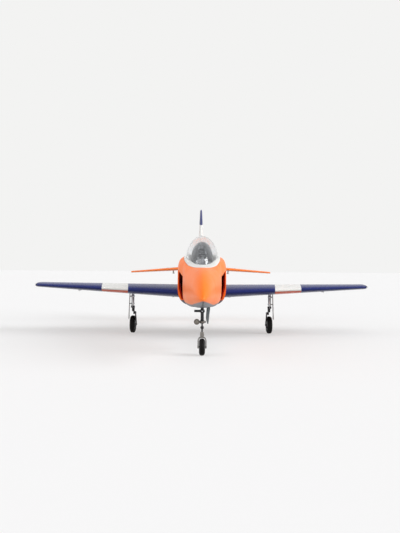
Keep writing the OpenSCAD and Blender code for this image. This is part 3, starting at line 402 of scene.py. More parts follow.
def body_colour(r):
    """Orange above, grey-blue belly, white and navy sweeping up at the rear."""
    wobble = r.times(r.noise(25, 2), 0.0012)
    # Height of the belly's edge: it falls from the nose back
    curve = r.node("ShaderNodeFloatCurve")
    points = curve.mapping.curves[0].points
    for i, z in enumerate(BELLY_ENDS):
        points[i].location = (i, z / CURVE_TOP)
    for x, z in BELLY_POINTS:
        points.new(x, z / CURVE_TOP)
    curve.mapping.update()
    r.link(r.span(r.y, 0.0, 1.0, BELLY_FROM, BELLY_TO), curve.inputs[1])
    edge = r.times(curve.outputs[0], CURVE_TOP)
    above_belly = r.step(r.add(r.minus(r.z, edge), wobble), 0.0, 0.0012)
    # Bands that lean back across the rear
    lean = r.add(r.minus(r.y, r.times(r.z, REAR_LEAN)), wobble)
    upper = r.mix(r.step(lean, REAR_WHITE, 0.0014), ORANGE, WHITE)
    upper = r.mix(r.band(lean, *REAR_NAVY, 0.0014), upper, NAVY)
    keel = r.step(r.times(r.math("ABSOLUTE", r.x), -1.0), -SEAM_HALF, 0.0004)
    ahead = r.step(r.times(r.y, -1.0), SEAM_END, 0.01)
    belly = r.mix(r.times(keel, ahead), BELLY, KEEL_SEAM)
    return r.mix(above_belly, belly, upper)


# Painted shade: the walls turn a darker red behind y = -0.182 m, deeper into the slot
def intake_shade_colour(r):
    return r.mix(r.step(r.y, -0.182, 0.02), INTAKE_SHADED_WALL, INTAKE_DEEP_SHADE)


def white_colour(r):
    return r.mix(r.noise(14, 2), WHITE, srgb(216, 216, 213))


def slanted(r, place):
    """A place that shifts along the aircraft, with a small wobble for a painted edge."""
    return r.add(r.minus(place, r.times(r.y, BAND_SLANT)), r.times(r.noise(30, 2), 0.0010))


def wing_colour(r):
    """Navy with a slanted white band; the band is orange underneath."""
    out = r.math("ABSOLUTE", r.x)
    band = r.band(slanted(r, out), *WING_BAND, 0.0012)
    # The chord line's height rises towards the tip
    chord = r.add(0.12503, r.times(out, 0.0282))
    under = r.step(r.minus(chord, r.z), 0.0030, 0.0008)
    return r.mix(band, NAVY, r.mix(under, WHITE, ORANGE_DEEP))


def fin_colour(r):
    """White below and navy above, with the border leaning along the fin."""
    return r.mix(r.step(slanted(r, r.z), FIN_BORDER, 0.0012), WHITE, NAVY)


FOAM_BODY = painted_foam("foam_body_paint", body_colour)
# Painted shade for the walls inside the intakes
INTAKE_SHADE_PAINT = painted_foam("foam_intake_painted_shade", intake_shade_colour)
FOAM_WHITE = painted_foam("foam_white_paint", white_colour)
FOAM_WING = painted_foam("foam_wing_paint", wing_colour, rough=(0.22, 0.32), specular=0.1)
FOAM_TAIL = painted_foam("foam_tail_paint", lambda r: ORANGE)
FOAM_FIN = painted_foam("foam_fin_paint", fin_colour)


def plastic(name, colour, rough=(0.35, 0.5), grain=0.15, worn=None, coat=0.0):
    """Moulded plastic: fine spark texture, faint scuffs and colour drift."""
    r = Recipe(name)
    drift = r.span(r.noise(35, 4), 0.94, 1.05)
    base = r.shade(colour, drift)
    if worn:
        rubs = r.step(r.noise(70, 6, 0.7), 0.62, 0.05)
        base = r.mix(r.times(rubs, 0.5), base, worn)
    r.set(Base_Color=base, Roughness=r.span(r.noise(120, 5), *rough), Coat_Weight=coat,
          Coat_Roughness=0.2)
    r.bump(r.add(r.noise(1600, 2), r.times(r.noise(140, 3), 0.5)), grain, 0.0003)
    return r.material


def metal(name, colour, rough=(0.22, 0.4), stretch=(1, 1, 14), metallic=1.0):
    """Machined metal with fine turning lines and slightly uneven polish."""
    r = Recipe(name)
    lines = r.noise(420, 3, 0.6, stretch)
    blotch = r.noise(60, 4)
    r.set(Base_Color=r.shade(colour, r.span(blotch, 0.86, 1.08)), Metallic=metallic,
          Roughness=r.span(r.add(r.times(lines, 0.5), r.times(blotch, 0.5)), *rough))
    r.bump(lines, 0.12, 0.0002)
    return r.material


SILVER = metal("silver_alloy", srgb(200, 200, 202))
DARK_METAL = metal("black_anodised", srgb(58, 56, 58), (0.3, 0.45), metallic=0.75)
STEEL = metal("bright_steel", srgb(190, 192, 196), (0.15, 0.3), (14, 1, 14))
MOTOR = metal("motor_can", srgb(150, 152, 158), (0.2, 0.35), (1, 14, 1))
MAGNET = metal("plated_magnet", srgb(205, 205, 210), (0.08, 0.18))
COVER_PLATE = plastic("cover_plate_paint", srgb(206, 207, 202), (0.3, 0.45), 0.1, coat=0.2)
BLACK_PLASTIC = plastic("black_plastic", srgb(30, 30, 31), worn=srgb(60, 60, 60))
GREY_PLASTIC = plastic("grey_plastic", srgb(112, 116, 120), worn=srgb(140, 142, 144))
DOOR_PAINT = plastic("door_paint", srgb(112, 119, 122), (0.35, 0.5), 0.2, coat=0.1)
COCKPIT = plastic("cockpit_grey", srgb(106, 107, 110), (0.55, 0.75), 0.3, worn=srgb(126, 126, 128))
ARM_PLASTIC = plastic("white_nylon", srgb(222, 222, 216), (0.3, 0.45), 0.1)
BATTERY_WRAP = plastic("battery_wrap", srgb(38, 70, 140), (0.12, 0.25), 0.08, coat=0.6)
CARBON = plastic("carbon_tube", srgb(28, 28, 30), (0.18, 0.3), 0.2, coat=0.5)


def wood(name):
    r = Recipe(name)
    grain = r.noise(60, 6, 0.6, (1, 0.08, 1))
    base = r.mix(grain, srgb(196, 160, 112), srgb(150, 112, 70))
    r.set(Base_Color=base, Roughness=r.span(grain, 0.5, 0.7))
    r.bump(grain, 0.2, 0.0003)
    return r.material


PLYWOOD = wood("birch_ply")


def rubber(name):
    r = Recipe(name)
    dust = r.noise(55, 5, 0.65)
    base = r.mix(r.span(dust, 0.0, 0.6), srgb(12, 11, 11), srgb(34, 32, 31))
    r.set(Base_Color=base, Roughness=r.span(dust, 0.55, 0.8), Specular_IOR_Level=0.15)
    r.bump(r.add(r.noise(700, 3), r.times(r.noise(90, 3), 0.6)), 0.25, 0.0004)
    return r.material


RUBBER = rubber("tyre_rubber")


def clear(name, tint, rough=0.03, weight=1.0):
    """Thin clear plastic that shows the studio in its skin."""
    r = Recipe(name)
    r.set(Base_Color=tint, Roughness=r.span(r.noise(26, 4), rough, rough + 0.05),
          Transmission_Weight=weight, IOR=1.12, Coat_Weight=0.6, Coat_Roughness=0.04)
    r.bump(r.noise(18, 2), 0.05, 0.0008)
    return r.material


CANOPY = clear("canopy_clear", srgb(244, 246, 248))
LENS = clear("lens_clear", srgb(214, 218, 226), 0.08)
BLACK_METAL = metal("black_steel", srgb(44, 44, 46), (0.22, 0.36), (14, 14, 1), metallic=0.6)
SLIDE_METAL = metal("slide_steel", srgb(92, 90, 90), (0.25, 0.4), metallic=0.6)
DULL_METAL = metal("cast_alloy", srgb(128, 124, 120), (0.3, 0.48), metallic=0.85)
LAMP_SHELL = plastic("lamp_shell", srgb(104, 97, 92), (0.3, 0.42), 0.1, coat=0.2)
LAMP_LENS = clear("lamp_lens", srgb(178, 170, 158), 0.05, weight=0.5)
# Painted shade: the duct's orange paint made a deep red, for the shade inside it
DUCT_SHADED_RED = plastic("duct_painted_shade", srgb(196, 46, 28), (0.4, 0.55), 0.15)
FILM = plastic("tube_film", srgb(196, 198, 200), (0.12, 0.25), 0.1, coat=0.4)


# ---- Shapes shared by the pieces, all in millimetres
# Where the foam body begins, is parted and ends, and how thick its walls are
NOSE_TIP, NOSE_JOINT, FRONT_END = -565, -455, -190
LIP_FOOT_Y, REAR_JOINT, BODY_END, WALL = -216, 150, 500, 7
BODY_Z = 150
# The hatch: its middle, its reach ahead and behind, and its half width
HATCH_Y, HATCH_AHEAD, HATCH_BEHIND, HATCH_HALF = -175, 173, 148, 45
GLASS_RIM = 4.5

# Each station: y, half width, bottom, widest height, top, then how round the
# upper and lower halves are: 1 is an ellipse, less is squarer, more is pointed.
CORE = [
    (-565, 0.8, 132.2, 133, 133.8, 1.1, 1), (-559, 4.6, 129.5, 134.5, 141, 1.3, 1),
    (-547, 9.2, 126, 137, 150, 1.3, 1), (-530, 13.8, 122.5, 140.5, 160, 1.2, 0.95),
    (-508, 18, 119, 143, 170.5, 1.15, 0.9), (-482, 22, 115.5, 145, 180, 1.08, 0.85),
    (-455, 25.5, 112.5, 146.5, 186.5, 1, 0.8), (-425, 30, 109.5, 148, 189.3, 0.93, 0.78),
    (-390, 35, 106, 149, 190.3, 0.8, 0.74), (-350, 39.5, 103, 150, 191, 0.6, 0.7),
    (-300, 43.5, 100, 150, 197.5, 0.38, 0.63), (-250, 46.2, 97, 150, 210.5, 0.33, 0.55),
    (-190, 47.5, 95, 150, 214, 0.36, 0.5), (-110, 47.5, 95, 150, 219, 0.36, 0.5),
]
FULL = [
    (-262, 45.6, 97.7, 150, 207.4, 0.34, 0.57), (-240, 51, 97, 150, 212, 0.36, 0.62),
    (-216, 57, 96.3, 150, 214, 0.37, 0.65), (-203, 59.2, 95.8, 150, 215.5, 0.36, 0.64),
    (-185, 60.4, 95.3, 150, 218, 0.34, 0.62), (-150, 60.8, 95, 150, 220.5, 0.33, 0.6),
    (-100, 61, 95, 150, 222.5, 0.33, 0.6), (-30, 61, 95, 150, 225, 0.36, 0.62),
    (50, 61, 95, 150, 226, 0.48, 0.65), (150, 59, 99, 150, 224, 0.6, 0.72),
    (230, 55, 104, 150, 220, 0.73, 0.8), (310, 49.5, 110, 151, 215, 0.84, 0.86),
    (390, 44, 115.5, 152, 210, 0.92, 0.92), (455, 38.5, 119, 153, 205.5, 0.94, 0.96),
    (480, 36, 120, 153, 199, 0.97, 1), (500, 34, 119.5, 153, 188, 1, 1),
]


def eased(table, y):
    """A station's values at y, on smooth curves through the table."""
    ys = [row[0] for row in table]
    y = min(max(y, ys[0]), ys[-1])
    i = max(k for k in range(len(ys) - 1) if ys[k] <= y)
    t = (y - ys[i]) / (ys[i + 1] - ys[i])
    values = []
    for c in range(1, 7):
        rise = [(table[k + 1][c] - table[k][c]) / (ys[k + 1] - ys[k])
                for k in range(len(ys) - 1)]
        slopes = []
        for k in (i, i + 1):
            a, b = rise[max(k - 1, 0)], rise[min(k, len(rise) - 1)]
            slopes.append(2 * a * b / (a + b) if a * b > 0 else 0.0)
        span = ys[i + 1] - ys[i]
        values.append((2 * t ** 3 - 3 * t ** 2 + 1) * table[i][c]
                      + (t ** 3 - 2 * t ** 2 + t) * span * slopes[0]
                      + (3 * t ** 2 - 2 * t ** 3) * table[i + 1][c]
                      + (t ** 3 - t ** 2) * span * slopes[1])
    return values


def ring(table, y, inset=0.0, lift=0.0):
    """One outline of the body at y, moved in by inset and up by lift."""
    half, low, waist, high, upper, lower = eased(table, y)
    points = []
    for c, s in circle(112):
        power, reach = (upper, high - inset - waist) if s >= 0 else (lower, waist - low - inset)
        points.append(((half - inset) * power_of(c, power), y,
                       waist + lift + reach * power_of(s, min(power, 1))))
    return points


def stops(low, high, pitch):
    count = max(1, round((high - low) / pitch))
    return [low + (high - low) * i / count for i in range(count + 1)]


def hull_form(table, low, high, inset=0.0, lift=0.0, pitch=7):
    """The body's solid between two stations."""
    return skin("form", [ring(table, y, inset, lift) for y in stops(low, high, pitch)])


def prism(points, axis, low, high):
    """An outline drawn across an axis and carried along it, in millimetres."""
    put = {"X": lambda a, b, s: (s, a, b), "Y": lambda a, b, s: (a, s, b),
           "Z": lambda a, b, s: (a, b, s)}[axis]
    return skin("prism", [[put(a, b, s) for a, b in points] for s in (low, high)])


def shift(x, y, z):
    """A move by millimetres."""
    return Matrix.Translation(Vector((x, y, z)) * MM)


def moved(piece, matrix):
    piece.data.transform(matrix)
    return piece


def other_side(piece):
    """The mirror image in place of the piece."""
    twin = mirrored(piece, "twin")
    bpy.data.objects.remove(piece)
    return twin


def both_sides(piece):
    """The piece and its mirror image in one mesh."""
    return join(piece.name, [piece, mirrored(piece, "twin")])


def oval(inset, front_gap=0.0, count=120):
    """The outline of the hatch, seen from above."""
    points = []
    for c, s in circle(count):
        reach = (HATCH_AHEAD - front_gap if s < 0 else HATCH_BEHIND) - inset
        points.append(((HATCH_HALF - inset) * c, HATCH_Y + reach * s))
    return points


def glass_form(inset):
    """The dome of the canopy, moved in by inset."""
    rings = []
    for i in range(49):
        a = math.radians(-87 + 174 * i / 48)
        reach = (135 if a < 0 else HATCH_BEHIND) - GLASS_RIM - inset
        y = HATCH_Y + reach * math.sin(a)
        half = (HATCH_HALF - GLASS_RIM - inset) * math.cos(a)
        # The foot of the dome climbs 40 along the hatch
        base = 188 + 40 * (y + 348) / 321
        high = (270 - (188 + 40 * 173 / 321) - inset) * math.cos(a) ** 0.9
        arch = [(half * c, y, base + high * abs(s) ** 0.97) for c, s in half_circle(44)]
        rings.append(arch + [(-half, y, 187.5), (half, y, 187.5)])
    return skin("dome", rings)


ROOT_X, SPAN_TIP = 52, 470.5
SPAR_AT = (0, -45, 126.5)


def fullness(s):
    return max(s, 0) ** 0.5 * max(1 - s, 0) ** 0.85 / 0.4106


def airfoil(chord, thick, count=34):
    shares = [(1 - math.cos(math.pi * i / count)) / 2 for i in range(count + 1)]
    top = [(s * chord, thick / 2 * fullness(s)) for s in reversed(shares)]
    return top + [(s * chord, -thick / 2 * fullness(s)) for s in shares[1:-1]]


def mixed(a, b, f):
    return a + (b - a) * f


def wing_at(x):
    """Leading edge, height, chord and thickness of the wing at x."""
    f = (x - ROOT_X) / (SPAN_TIP - ROOT_X)
    return mixed(-122, 20, f), mixed(126.5, 138.3, f), mixed(262, 127, f), mixed(35, 14, f)


def wing_half_t(x, y):
    le, _, chord, thick = wing_at(x)
    return thick / 2 * fullness((y - le) / chord)


def wing_form():
    rings = []
    for x in stops(ROOT_X, SPAN_TIP, 14):
        le, z, chord, thick = wing_at(x)
        rings.append([(x, le + a, z + b) for a, b in airfoil(chord, thick)])
    return skin("wing_form", rings)


def spar_bore():
    return rod("X", SPAR_AT, 8.1, 441)


# ---- Body
def cuts(piece, *cutters):
    for cutter in cutters:
        cut(piece, cutter)
    return piece


def hatch_hole():
    return prism(oval(-0.4), "Z", 186.5, 400)


def magnet_holes():
    return both_sides(rod("Z", (37.5, HATCH_Y, 185.5), 10.4, 4))


def nose_bore(y):
    """The cable's way through the joint of the nose."""
    return rod("Y", (0, y, BODY_Z), 24, 12)


def finish_foam(piece, node, material, width=0.45, angle=42):
    bevel(piece, width, 2, angle)
    smooth(piece, 38)
    return dress(piece, node, material)


def nose_cone():
    piece = hull_form(CORE, NOSE_TIP, NOSE_JOINT, pitch=2.5)
    cuts(piece, hull_form(CORE, -515, NOSE_JOINT - 8, WALL), nose_bore(-459))
    finish_foam(piece, "nose_cone", FOAM_BODY)


# Two corners of the nose gear's bay
BAY = (-23, -386.5, 0), (17.9, -234, 145.5)


def shoulder_room():
    """Everything above the sloping roofs of the intakes, ahead of the joint."""
    roof = [(47.5, 172), (72.5, 203.5), (72.5, 400), (-72.5, 400), (-72.5, 203.5),
            (-47.5, 172)]
    return prism(roof, "Y", -264, FRONT_END)


def fuselage_front():
    piece = hull_form(CORE, NOSE_JOINT, FRONT_END, pitch=5)
    shoulders = hull_form(FULL, -262, -189, pitch=4)
    cut(shoulders, shoulder_room(), "INTERSECT")
    cut(piece, shoulders, "UNION")
    cuts(piece, hull_form(CORE, -447, -189, WALL), nose_bore(-450.5), hatch_hole(), box(*BAY),
         magnet_holes())
    finish_foam(piece, "fuselage_front", FOAM_BODY)


def lip_plane():
    """Everything ahead of the leaning plane of the intake lips."""
    piece = box((-400, -400, -400), (400, 0, 400))
    turn = Matrix.Rotation(math.radians(17.5), 4, "X")
    return moved(piece, shift(0, LIP_FOOT_Y, 214) @ turn)


def intake_mouth():
    """The left intake's slot, from its lip back to the throat."""
    mouth = hull_form(FULL, -216, -170, 2.4, pitch=4)
    slot = prism([(35.5, 109), (50.5, 113), (60, 150), (60, 188.05), (47.5, 172.3),
                  (35.5, 172.3)], "Y", -225, -165)
    return cut(mouth, slot, "INTERSECT")


def intake_throat():
    """The narrowing passage from the left slot to the duct."""
    front = [(47.7, 120), (50, 120), (56, 150), (56, 178), (47.7, 178)]
    rear = [(41, 128), (51.1, 128), (51.1, 150), (51.1, 181), (41, 181)]
    return skin("throat", [[(x, -171.5, z) for x, z in front],
                           [(x, -170, z) for x, z in front],
                           [(x, -109, z) for x, z in rear]])


def fuselage_centre():
    piece = hull_form(FULL, LIP_FOOT_Y, REAR_JOINT, pitch=6)
    cuts(piece, lip_plane(), shoulder_room(), intake_mouth(), other_side(intake_mouth()),
         hull_form(CORE, -240, FRONT_END, pitch=6))
    cut(piece, hull_form(CORE, FRONT_END, -140, pitch=6), "UNION")
    cuts(piece, hull_form(CORE, -191, -111, 10), hull_form(FULL, -112, 151, WALL),
         intake_throat(), other_side(intake_throat()))
    cuts(piece, hatch_hole(), wing_form(), other_side(wing_form()), spar_bore(), magnet_holes())
    shade_intakes(finish_foam(piece, "fuselage_centre", FOAM_BODY))


def shade_intakes(piece):
    """Paints shade on the walls of the air passages, which face inwards or hug the body's core: a
    darker red stands in for the shade inside.
    """
    piece.data.materials.append(INTAKE_SHADE_PAINT)
    for face in piece.data.polygons:
        x, y, z = (c / MM for c in face.center)
        out, away = abs(x), face.normal.x * math.copysign(1, x)
        on_lip = face.normal.y < -0.9 and y < -172
        in_passage = -215.5 < y < -109 and 40 < out < 58.6 and 108 < z < 189
        ceiling = abs(face.normal.z) > 0.7 and out < 55
        if in_passage and not on_lip and (away < -0.3 or out < 51.5 or ceiling):
            # These walls get the painted shade
            face.material_index = 1


# The thrust tube falls from the fan's height to its outlet's
TUBE_Y, TUBE_RUN, FAN_Z, OUTLET_Z = 133, 356.5, 160, 153


def thrust_form(grow):
    """The tapering tube and the level ring of its outlet."""
    sink = math.atan((FAN_Z - OUTLET_Z) / TUBE_RUN)
    long = TUBE_RUN / math.cos(sink)
    piece = rod("Z", (0, 0, long / 2), 72.6 + 2 * grow, long, 96, 61.4 + 2 * grow)
    moved(piece, shift(0, TUBE_Y, FAN_Z) @ Matrix.Rotation(-math.pi / 2 - sink, 4, "X"))
    return cut(piece, rod("Y", (0, 494.5, OUTLET_Z), 62 + 2 * grow, 13, 96), "UNION")


TAIL_HALF = 248


def tail_at(x):
    """Leading edge, height, chord and thickness of the stabiliser at x."""
    f = abs(x) / TAIL_HALF
    return mixed(355, 425, f), mixed(191.5, 173.5, f), mixed(140, 70, f), mixed(15, 6, f)


def tail_form(grow):
    rings = []
    for x in stops(-TAIL_HALF, TAIL_HALF, 12):
        le, z, chord, thick = tail_at(x)
        section = airfoil(chord + 2 * grow, thick + 2 * grow, 26)
        rings.append([(x, le - grow + a, z + b) for a, b in section])
    return skin("tail_form", rings)


FIN_FOOT, FIN_TOP, FIN_CAP = 199, 401, 395


def fin_at(z):
    """Leading edge, trailing edge and thickness of the fin at z."""
    f = (z - FIN_FOOT) / (FIN_TOP - FIN_FOOT)
    return mixed(300, 452, f), mixed(520, 566.3, f), mixed(25, 7, f)


def fin_form():
    rings = []
    for z in stops(FIN_FOOT, FIN_CAP, 12) + [397.5, 399.5, 400.7, FIN_TOP]:
        le, te, thick = fin_at(z)
        over = max(z - FIN_CAP, 0) / (FIN_TOP - FIN_CAP)
        le += 12 * over ** 2
        te -= 4 * over ** 2
        thick *= math.sqrt(max(1 - over ** 2, 0.06))
        rings.append([(b, le + a, z) for a, b in airfoil(te - le, thick, 26)])
    return skin("fin_form", rings)


def fuselage_rear():
    piece = hull_form(FULL, REAR_JOINT, BODY_END, pitch=7)
    fin_root = fin_form()
    cut(fin_root, box((-50, 0, 0), (50, 474, 600)), "INTERSECT")
    cuts(piece, hull_form(FULL, 158, 325, WALL), hull_form(FULL, 333, 375, WALL),
         thrust_form(0.3), tail_form(0.05), fin_root)
    finish_foam(piece, "fuselage_rear", FOAM_BODY)


# ---- Hatch and cockpit
def deck(rise):
    """The body under the hatch, raised by rise."""
    front = hull_form(CORE, -358, -262, 0, rise, 5)
    return cut(front, hull_form(FULL, -262, -17, 0, rise, 5), "UNION")


def canopy_frame():
    piece = prism(oval(0, count=160), "Z", 189.8, 300)
    cut(piece, deck(1.5), "INTERSECT")
    cut(piece, prism(oval(6.1, 38, 160), "Z", 100, 400))
    finish_foam(piece, "canopy_frame", FOAM_WHITE, 0.6)


def canopy_glass():
    piece = glass_form(0)
    cuts(piece, glass_form(1.2), deck(1.5))
    smooth(piece, 50)
    dress(piece, "canopy_glass", CANOPY)


def cushion(low, high, width=2.0):
    return rounded_box(low, high, width, 4)


TUB_FLOOR = 186.8
# Where the seat, panel and consoles stand
DECK = TUB_FLOOR + 3


def cockpit_shell():
    """The floor and the domed bulkhead behind the seat, under the glass."""
    tub = prism(oval(0.5), "Z", TUB_FLOOR, DECK)
    bevel(tub, 0.6)
    wall = glass_form(8.5)
    arch = [(29 * c, 212 + 45.5 * s) for c, s in half_circle(48)] + [(-29, 187.8), (29, 187.8)]
    cut(wall, prism(arch, "Y", -151, 200), "INTERSECT")
    bevel(wall, 1.2, 3, 50)
    return [tub, wall]


def cockpit_seat():
    """A seat with a ribbed back, side bolsters and a head rest."""
    back = prism([(-12, 202), (12, 202), (13, 222), (9, 245), (0, 249), (-9, 245), (-13, 222)],
                 "Y", -160, -152)
    bevel(back, 1.6, 3, 30)
    parts = [back, cushion((-13, -206, DECK), (13, -158, TUB_FLOOR + 13), 2.5)]
    parts += [cushion((x - 2.5, -204, DECK), (x + 2.5, -156, TUB_FLOOR + 20)) for x in (-14, 14)]
    parts += [cushion((-8.5, -161.5, z), (8.5, -158, z + 4), 1) for z in range(206, 231, 6)]
    return parts + [cushion((-6.5, -163, 238), (6.5, -158, 247), 1.5)]


def cockpit_panel():
    """The instrument panel and its round dials, under a coaming."""
    panel = prism([(-26, 189), (26, 189), (24, 204), (15, 211), (-15, 211), (-24, 204)],
                  "Y", -250, -246)
    hood = skin("hood", [
        [(c * w, y, 190 + h * s) for c, s in half_circle(16)]
        for y, w, h in ((-286, 13, 9), (-276, 19, 16), (-262, 24, 21), (-248, 26, 23),
                        (-243, 26, 23))])
    for part in (panel, hood):
        bevel(part, 0.8)
    return [panel, hood] + [rod("Y", (x, -245, 200), 9.5, 3, 28) for x in (-14, 0, 14)]


def cockpit_controls():
    """Side consoles with switches, and a stick with its boot."""
    parts = []
    for x in (-25, 25):
        parts.append(cushion((x - 5, -242, DECK), (x + 5, -160, TUB_FLOOR + 14)))
        parts += [rod("Z", (x, y, TUB_FLOOR + 15), 2.2, 3, 12) for y in range(-234, -168, 9)]
    return parts + [rod("Z", (0, -218, TUB_FLOOR + 5), 12, 5, 24, 5),
                    between((0, -218, TUB_FLOOR + 5), (0, -214, TUB_FLOOR + 22), 2.4),
                    cushion((-2, -217, TUB_FLOOR + 20), (2, -212, TUB_FLOOR + 29), 1.2)]


def cockpit_tub():
    piece = join("cockpit", cockpit_shell() + cockpit_seat() + cockpit_panel()
                 + cockpit_controls())
    smooth(piece, 40)
    dress(piece, "cockpit_tub", COCKPIT)


def hatch_magnets():
    piece = rod("Z", (37.5, HATCH_Y, 185), 10, 3, 48)
    bevel(piece, 0.35)
    both_sides(piece)
    smooth(piece)
    dress(piece, "hatch_magnets", MAGNET)


# ---- Wing
def wing_z(x):
    return wing_at(x)[1]


# The hinge line of flap and aileron, from near the body to the tip
HINGE_IN, HINGE_OUT = (66, 94), (SPAN_TIP, 117)
HINGE_START = Vector((*HINGE_IN, wing_z(HINGE_IN[0])))
HINGE_END = Vector((*HINGE_OUT, wing_z(SPAN_TIP)))
HINGE_L = (HINGE_END - HINGE_START).length
HINGE_SWEEP = math.atan2(HINGE_END.y - HINGE_START.y, HINGE_END.x - HINGE_START.x)
HINGE_RISE = math.asin((HINGE_END.z - HINGE_START.z) / HINGE_L)
HINGE_IN_R, HINGE_OUT_R = wing_half_t(*HINGE_IN), wing_half_t(*HINGE_OUT)
AT_HINGE = (shift(*HINGE_START) @ Matrix.Rotation(HINGE_SWEEP, 4, "Z")
            @ Matrix.Rotation(-HINGE_RISE, 4, "Y"))
# Where flap and aileron begin and end along the hinge
FLAP, AILERON = (1.5, 235.5), (236.5, HINGE_L - 13.4)
# Each linkage: its place along the hinge, its rod's length, its arms' length
AILERON_LINK, FLAP_LINK, ELEVATOR_LINK = (284, 60, 12), (62, 30, 14), (52, 42, 15)
# Servo cases: their sizes along X, Y and Z
WING_SERVO, TAIL_SERVO = (22, 23, 12), (22, 20, 8)
SCREW_X, SCREW_YS = 78, (-25, 15)


def servo_place(link):
    back = Vector((math.sin(HINGE_SWEEP), -math.cos(HINGE_SWEEP), 0))
    return shift(*(HINGE_START + (HINGE_END - HINGE_START) * (link[0] / HINGE_L)
                   + back * link[1]))


def hinge_cone(l0, l1, share, grow):
    """The round front of the surfaces between two places along the hinge."""
    r0, r1 = [share * mixed(HINGE_IN_R, HINGE_OUT_R, at / HINGE_L) + grow for at in (l0, l1)]
    return rod("X", ((l0 + l1) / 2, 0, 0), 2 * r0, l1 - l0, 64, 2 * r1)


def horn_slot(link):
    return box((link[0] - 0.6, -11, -20), (link[0] + 2.6, 0, 0))


def servo_pocket(size, reach):
    """Room for a servo and the swing of its arm, open below."""
    room = box((2.1, 5.8 - size[1], -20 - size[2] / 2 - 0.2),
               (2.5 + size[0], 6.2, size[2] / 2 + 0.2))
    return cut(room, box((-4, -16, -20), (2.5, reach, 4)), "UNION")


def wheel_well():
    """Room for the folded wheel, its arm and the retract unit, open below."""
    well = rod("Z", (94.6, 60, 97.7), 54, 75.4, 72)
    for low, high in (((89.6, 30, 60), (143.6, 65, 137.7)),
                      ((94.6, 27, 60), (200.6, 49, 133.8)),
                      ((190.6, 27, 60), (237.6, 49, 134.3))):
        cut(well, box(low, high), "UNION")
    return well


def link_plate(radius):
    """A drilled arm that hangs from its axis."""
    tilt = math.asin(1 / radius)
    points = [(3 * math.cos(a), 3 * math.sin(a))
              for a in [-tilt + (math.pi + 2 * tilt) * i / 20 for i in range(21)]]
    points += [(2 * math.cos(a), 2 * math.sin(a) - radius)
               for a in [math.pi + tilt + (math.pi - 2 * tilt) * i / 14 for i in range(15)]]
    plate = prism(points, "X", 0, 2)
    cut(plate, rod("X", (1, 0, -radius), 1.9, 6, 20))
    for up in (3, 6):
        cut(plate, rod("X", (1, 0, -radius + up), 1.2, 6, 14))
    bevel(plate, 0.3, 2, 50)
    return plate


def horn(link):
    """The drilled horn, at its place along the hinge."""
    return paint(moved(link_plate(link[2]), shift(link[0], 0, 0)), BLACK_PLASTIC)


def servo_arm(link):
    return paint(link_plate(link[2]), ARM_PLASTIC)


def wing(side):
    piece = wing_form()
    hinge_block = box((FLAP[0] - 0.5, -2.5, -30), (AILERON[1] + 0.5, 90, 30))
    cut(hinge_block, hinge_cone(FLAP[0] - 0.5, AILERON[1] + 0.5, 1, 0.5), "UNION")
    cutters = [moved(c, AT_HINGE) for c in
               (hinge_block, horn_slot(AILERON_LINK), horn_slot(FLAP_LINK))]
    cutters += [moved(servo_pocket(WING_SERVO, 19), servo_place(link))
                for link in (AILERON_LINK, FLAP_LINK)]
    cutters += [spar_bore(), wheel_well()]
    cutters += [rod("Z", (SCREW_X, y, 115), 3, 38, 24) for y in SCREW_YS]
    cuts(piece, *cutters)
    bevel(piece, 0.35, 2, 48)
    dress(on_side(paint(piece, FOAM_WING), side), "wing_" + side)


def on_side(piece, side):
    """The left piece as it is, or its mirror image for the right."""
    return other_side(piece) if side == "right" else piece


def behind_hinge(piece, room, cone, place, width):
    """Keeps what lies in a room behind a hinge line, and rounds its edges."""
    cut(room, cone, "UNION")
    cut(piece, moved(room, place), "INTERSECT")
    bevel(piece, width, 2, 48)
    return piece


def surface(kind, side, ends, link):
    """An aileron or flap with its horn."""
    room = box((ends[0], 0, -30), (ends[1], 90, 30))
    piece = behind_hinge(wing_form(), room, hinge_cone(*ends, 0.95, 0), AT_HINGE, 0.35)
    piece = join(kind, [paint(piece, FOAM_WING), moved(horn(link), AT_HINGE)])
    dress(on_side(piece, side), kind + "_" + side)


def lenses():
    rings = []
    for i in range(13):
        f = i / 12
        x = SPAN_TIP + 9.98 * f
        shrink = 1 - 0.65 * f ** 2.2
        le = 20 + 22 * f ** 1.8
        chord = 127 - 30 * f ** 1.8
        rings.append([(x, le + a, 138.3 + b) for a, b in airfoil(chord, 14 * shrink)])
    piece = skin("lens", rings)
    bevel(piece, 0.5, 2, 50)
    smooth(piece, 45)
    both_sides(piece)
    dress(piece, "wingtip_lenses", LENS)


def link_rod(link):
    """A pushrod with a bent, clipped pin at each end."""
    x = link[0] - 1.95
    parts = [between((x, -link[1], -link[2]), (x, 0, -link[2]), 1.3)]
    for y in (-link[1], 0):
        parts.append(rod("X", (x + 2.2, y, -link[2]), 1.5, 6.3, 20))
        parts.append(rod("Y", (x, y + (5 if y else -5), -link[2]), 2.1, 6, 20))
    for part in parts:
        bevel(part, 0.15)
    return paint(join("rod", parts), STEEL)


def dress_all(parts, node):
    """Joins painted parts into the piece that stands for a node."""
    dress(join(node, parts), node)


def dress_pair(parts, name):
    """Joins a left piece, copies it to the right and dresses both."""
    piece = join(name, parts)
    dress(mirrored(piece, name + "_twin"), name + "_right")
    dress(piece, name + "_left")


def linkages():
    """Rods and servo arms: the ailerons' each on their own, the others in pairs."""
    dress_pair([moved(link_rod(AILERON_LINK), AT_HINGE)], "aileron_rod")
    dress(both_sides(moved(link_rod(FLAP_LINK), AT_HINGE)), "flap_rods")
    dress_pair([moved(servo_arm(AILERON_LINK), servo_place(AILERON_LINK))],
               "aileron_servo_arm")
    dress(both_sides(moved(servo_arm(FLAP_LINK), servo_place(FLAP_LINK))), "flap_servo_arms")


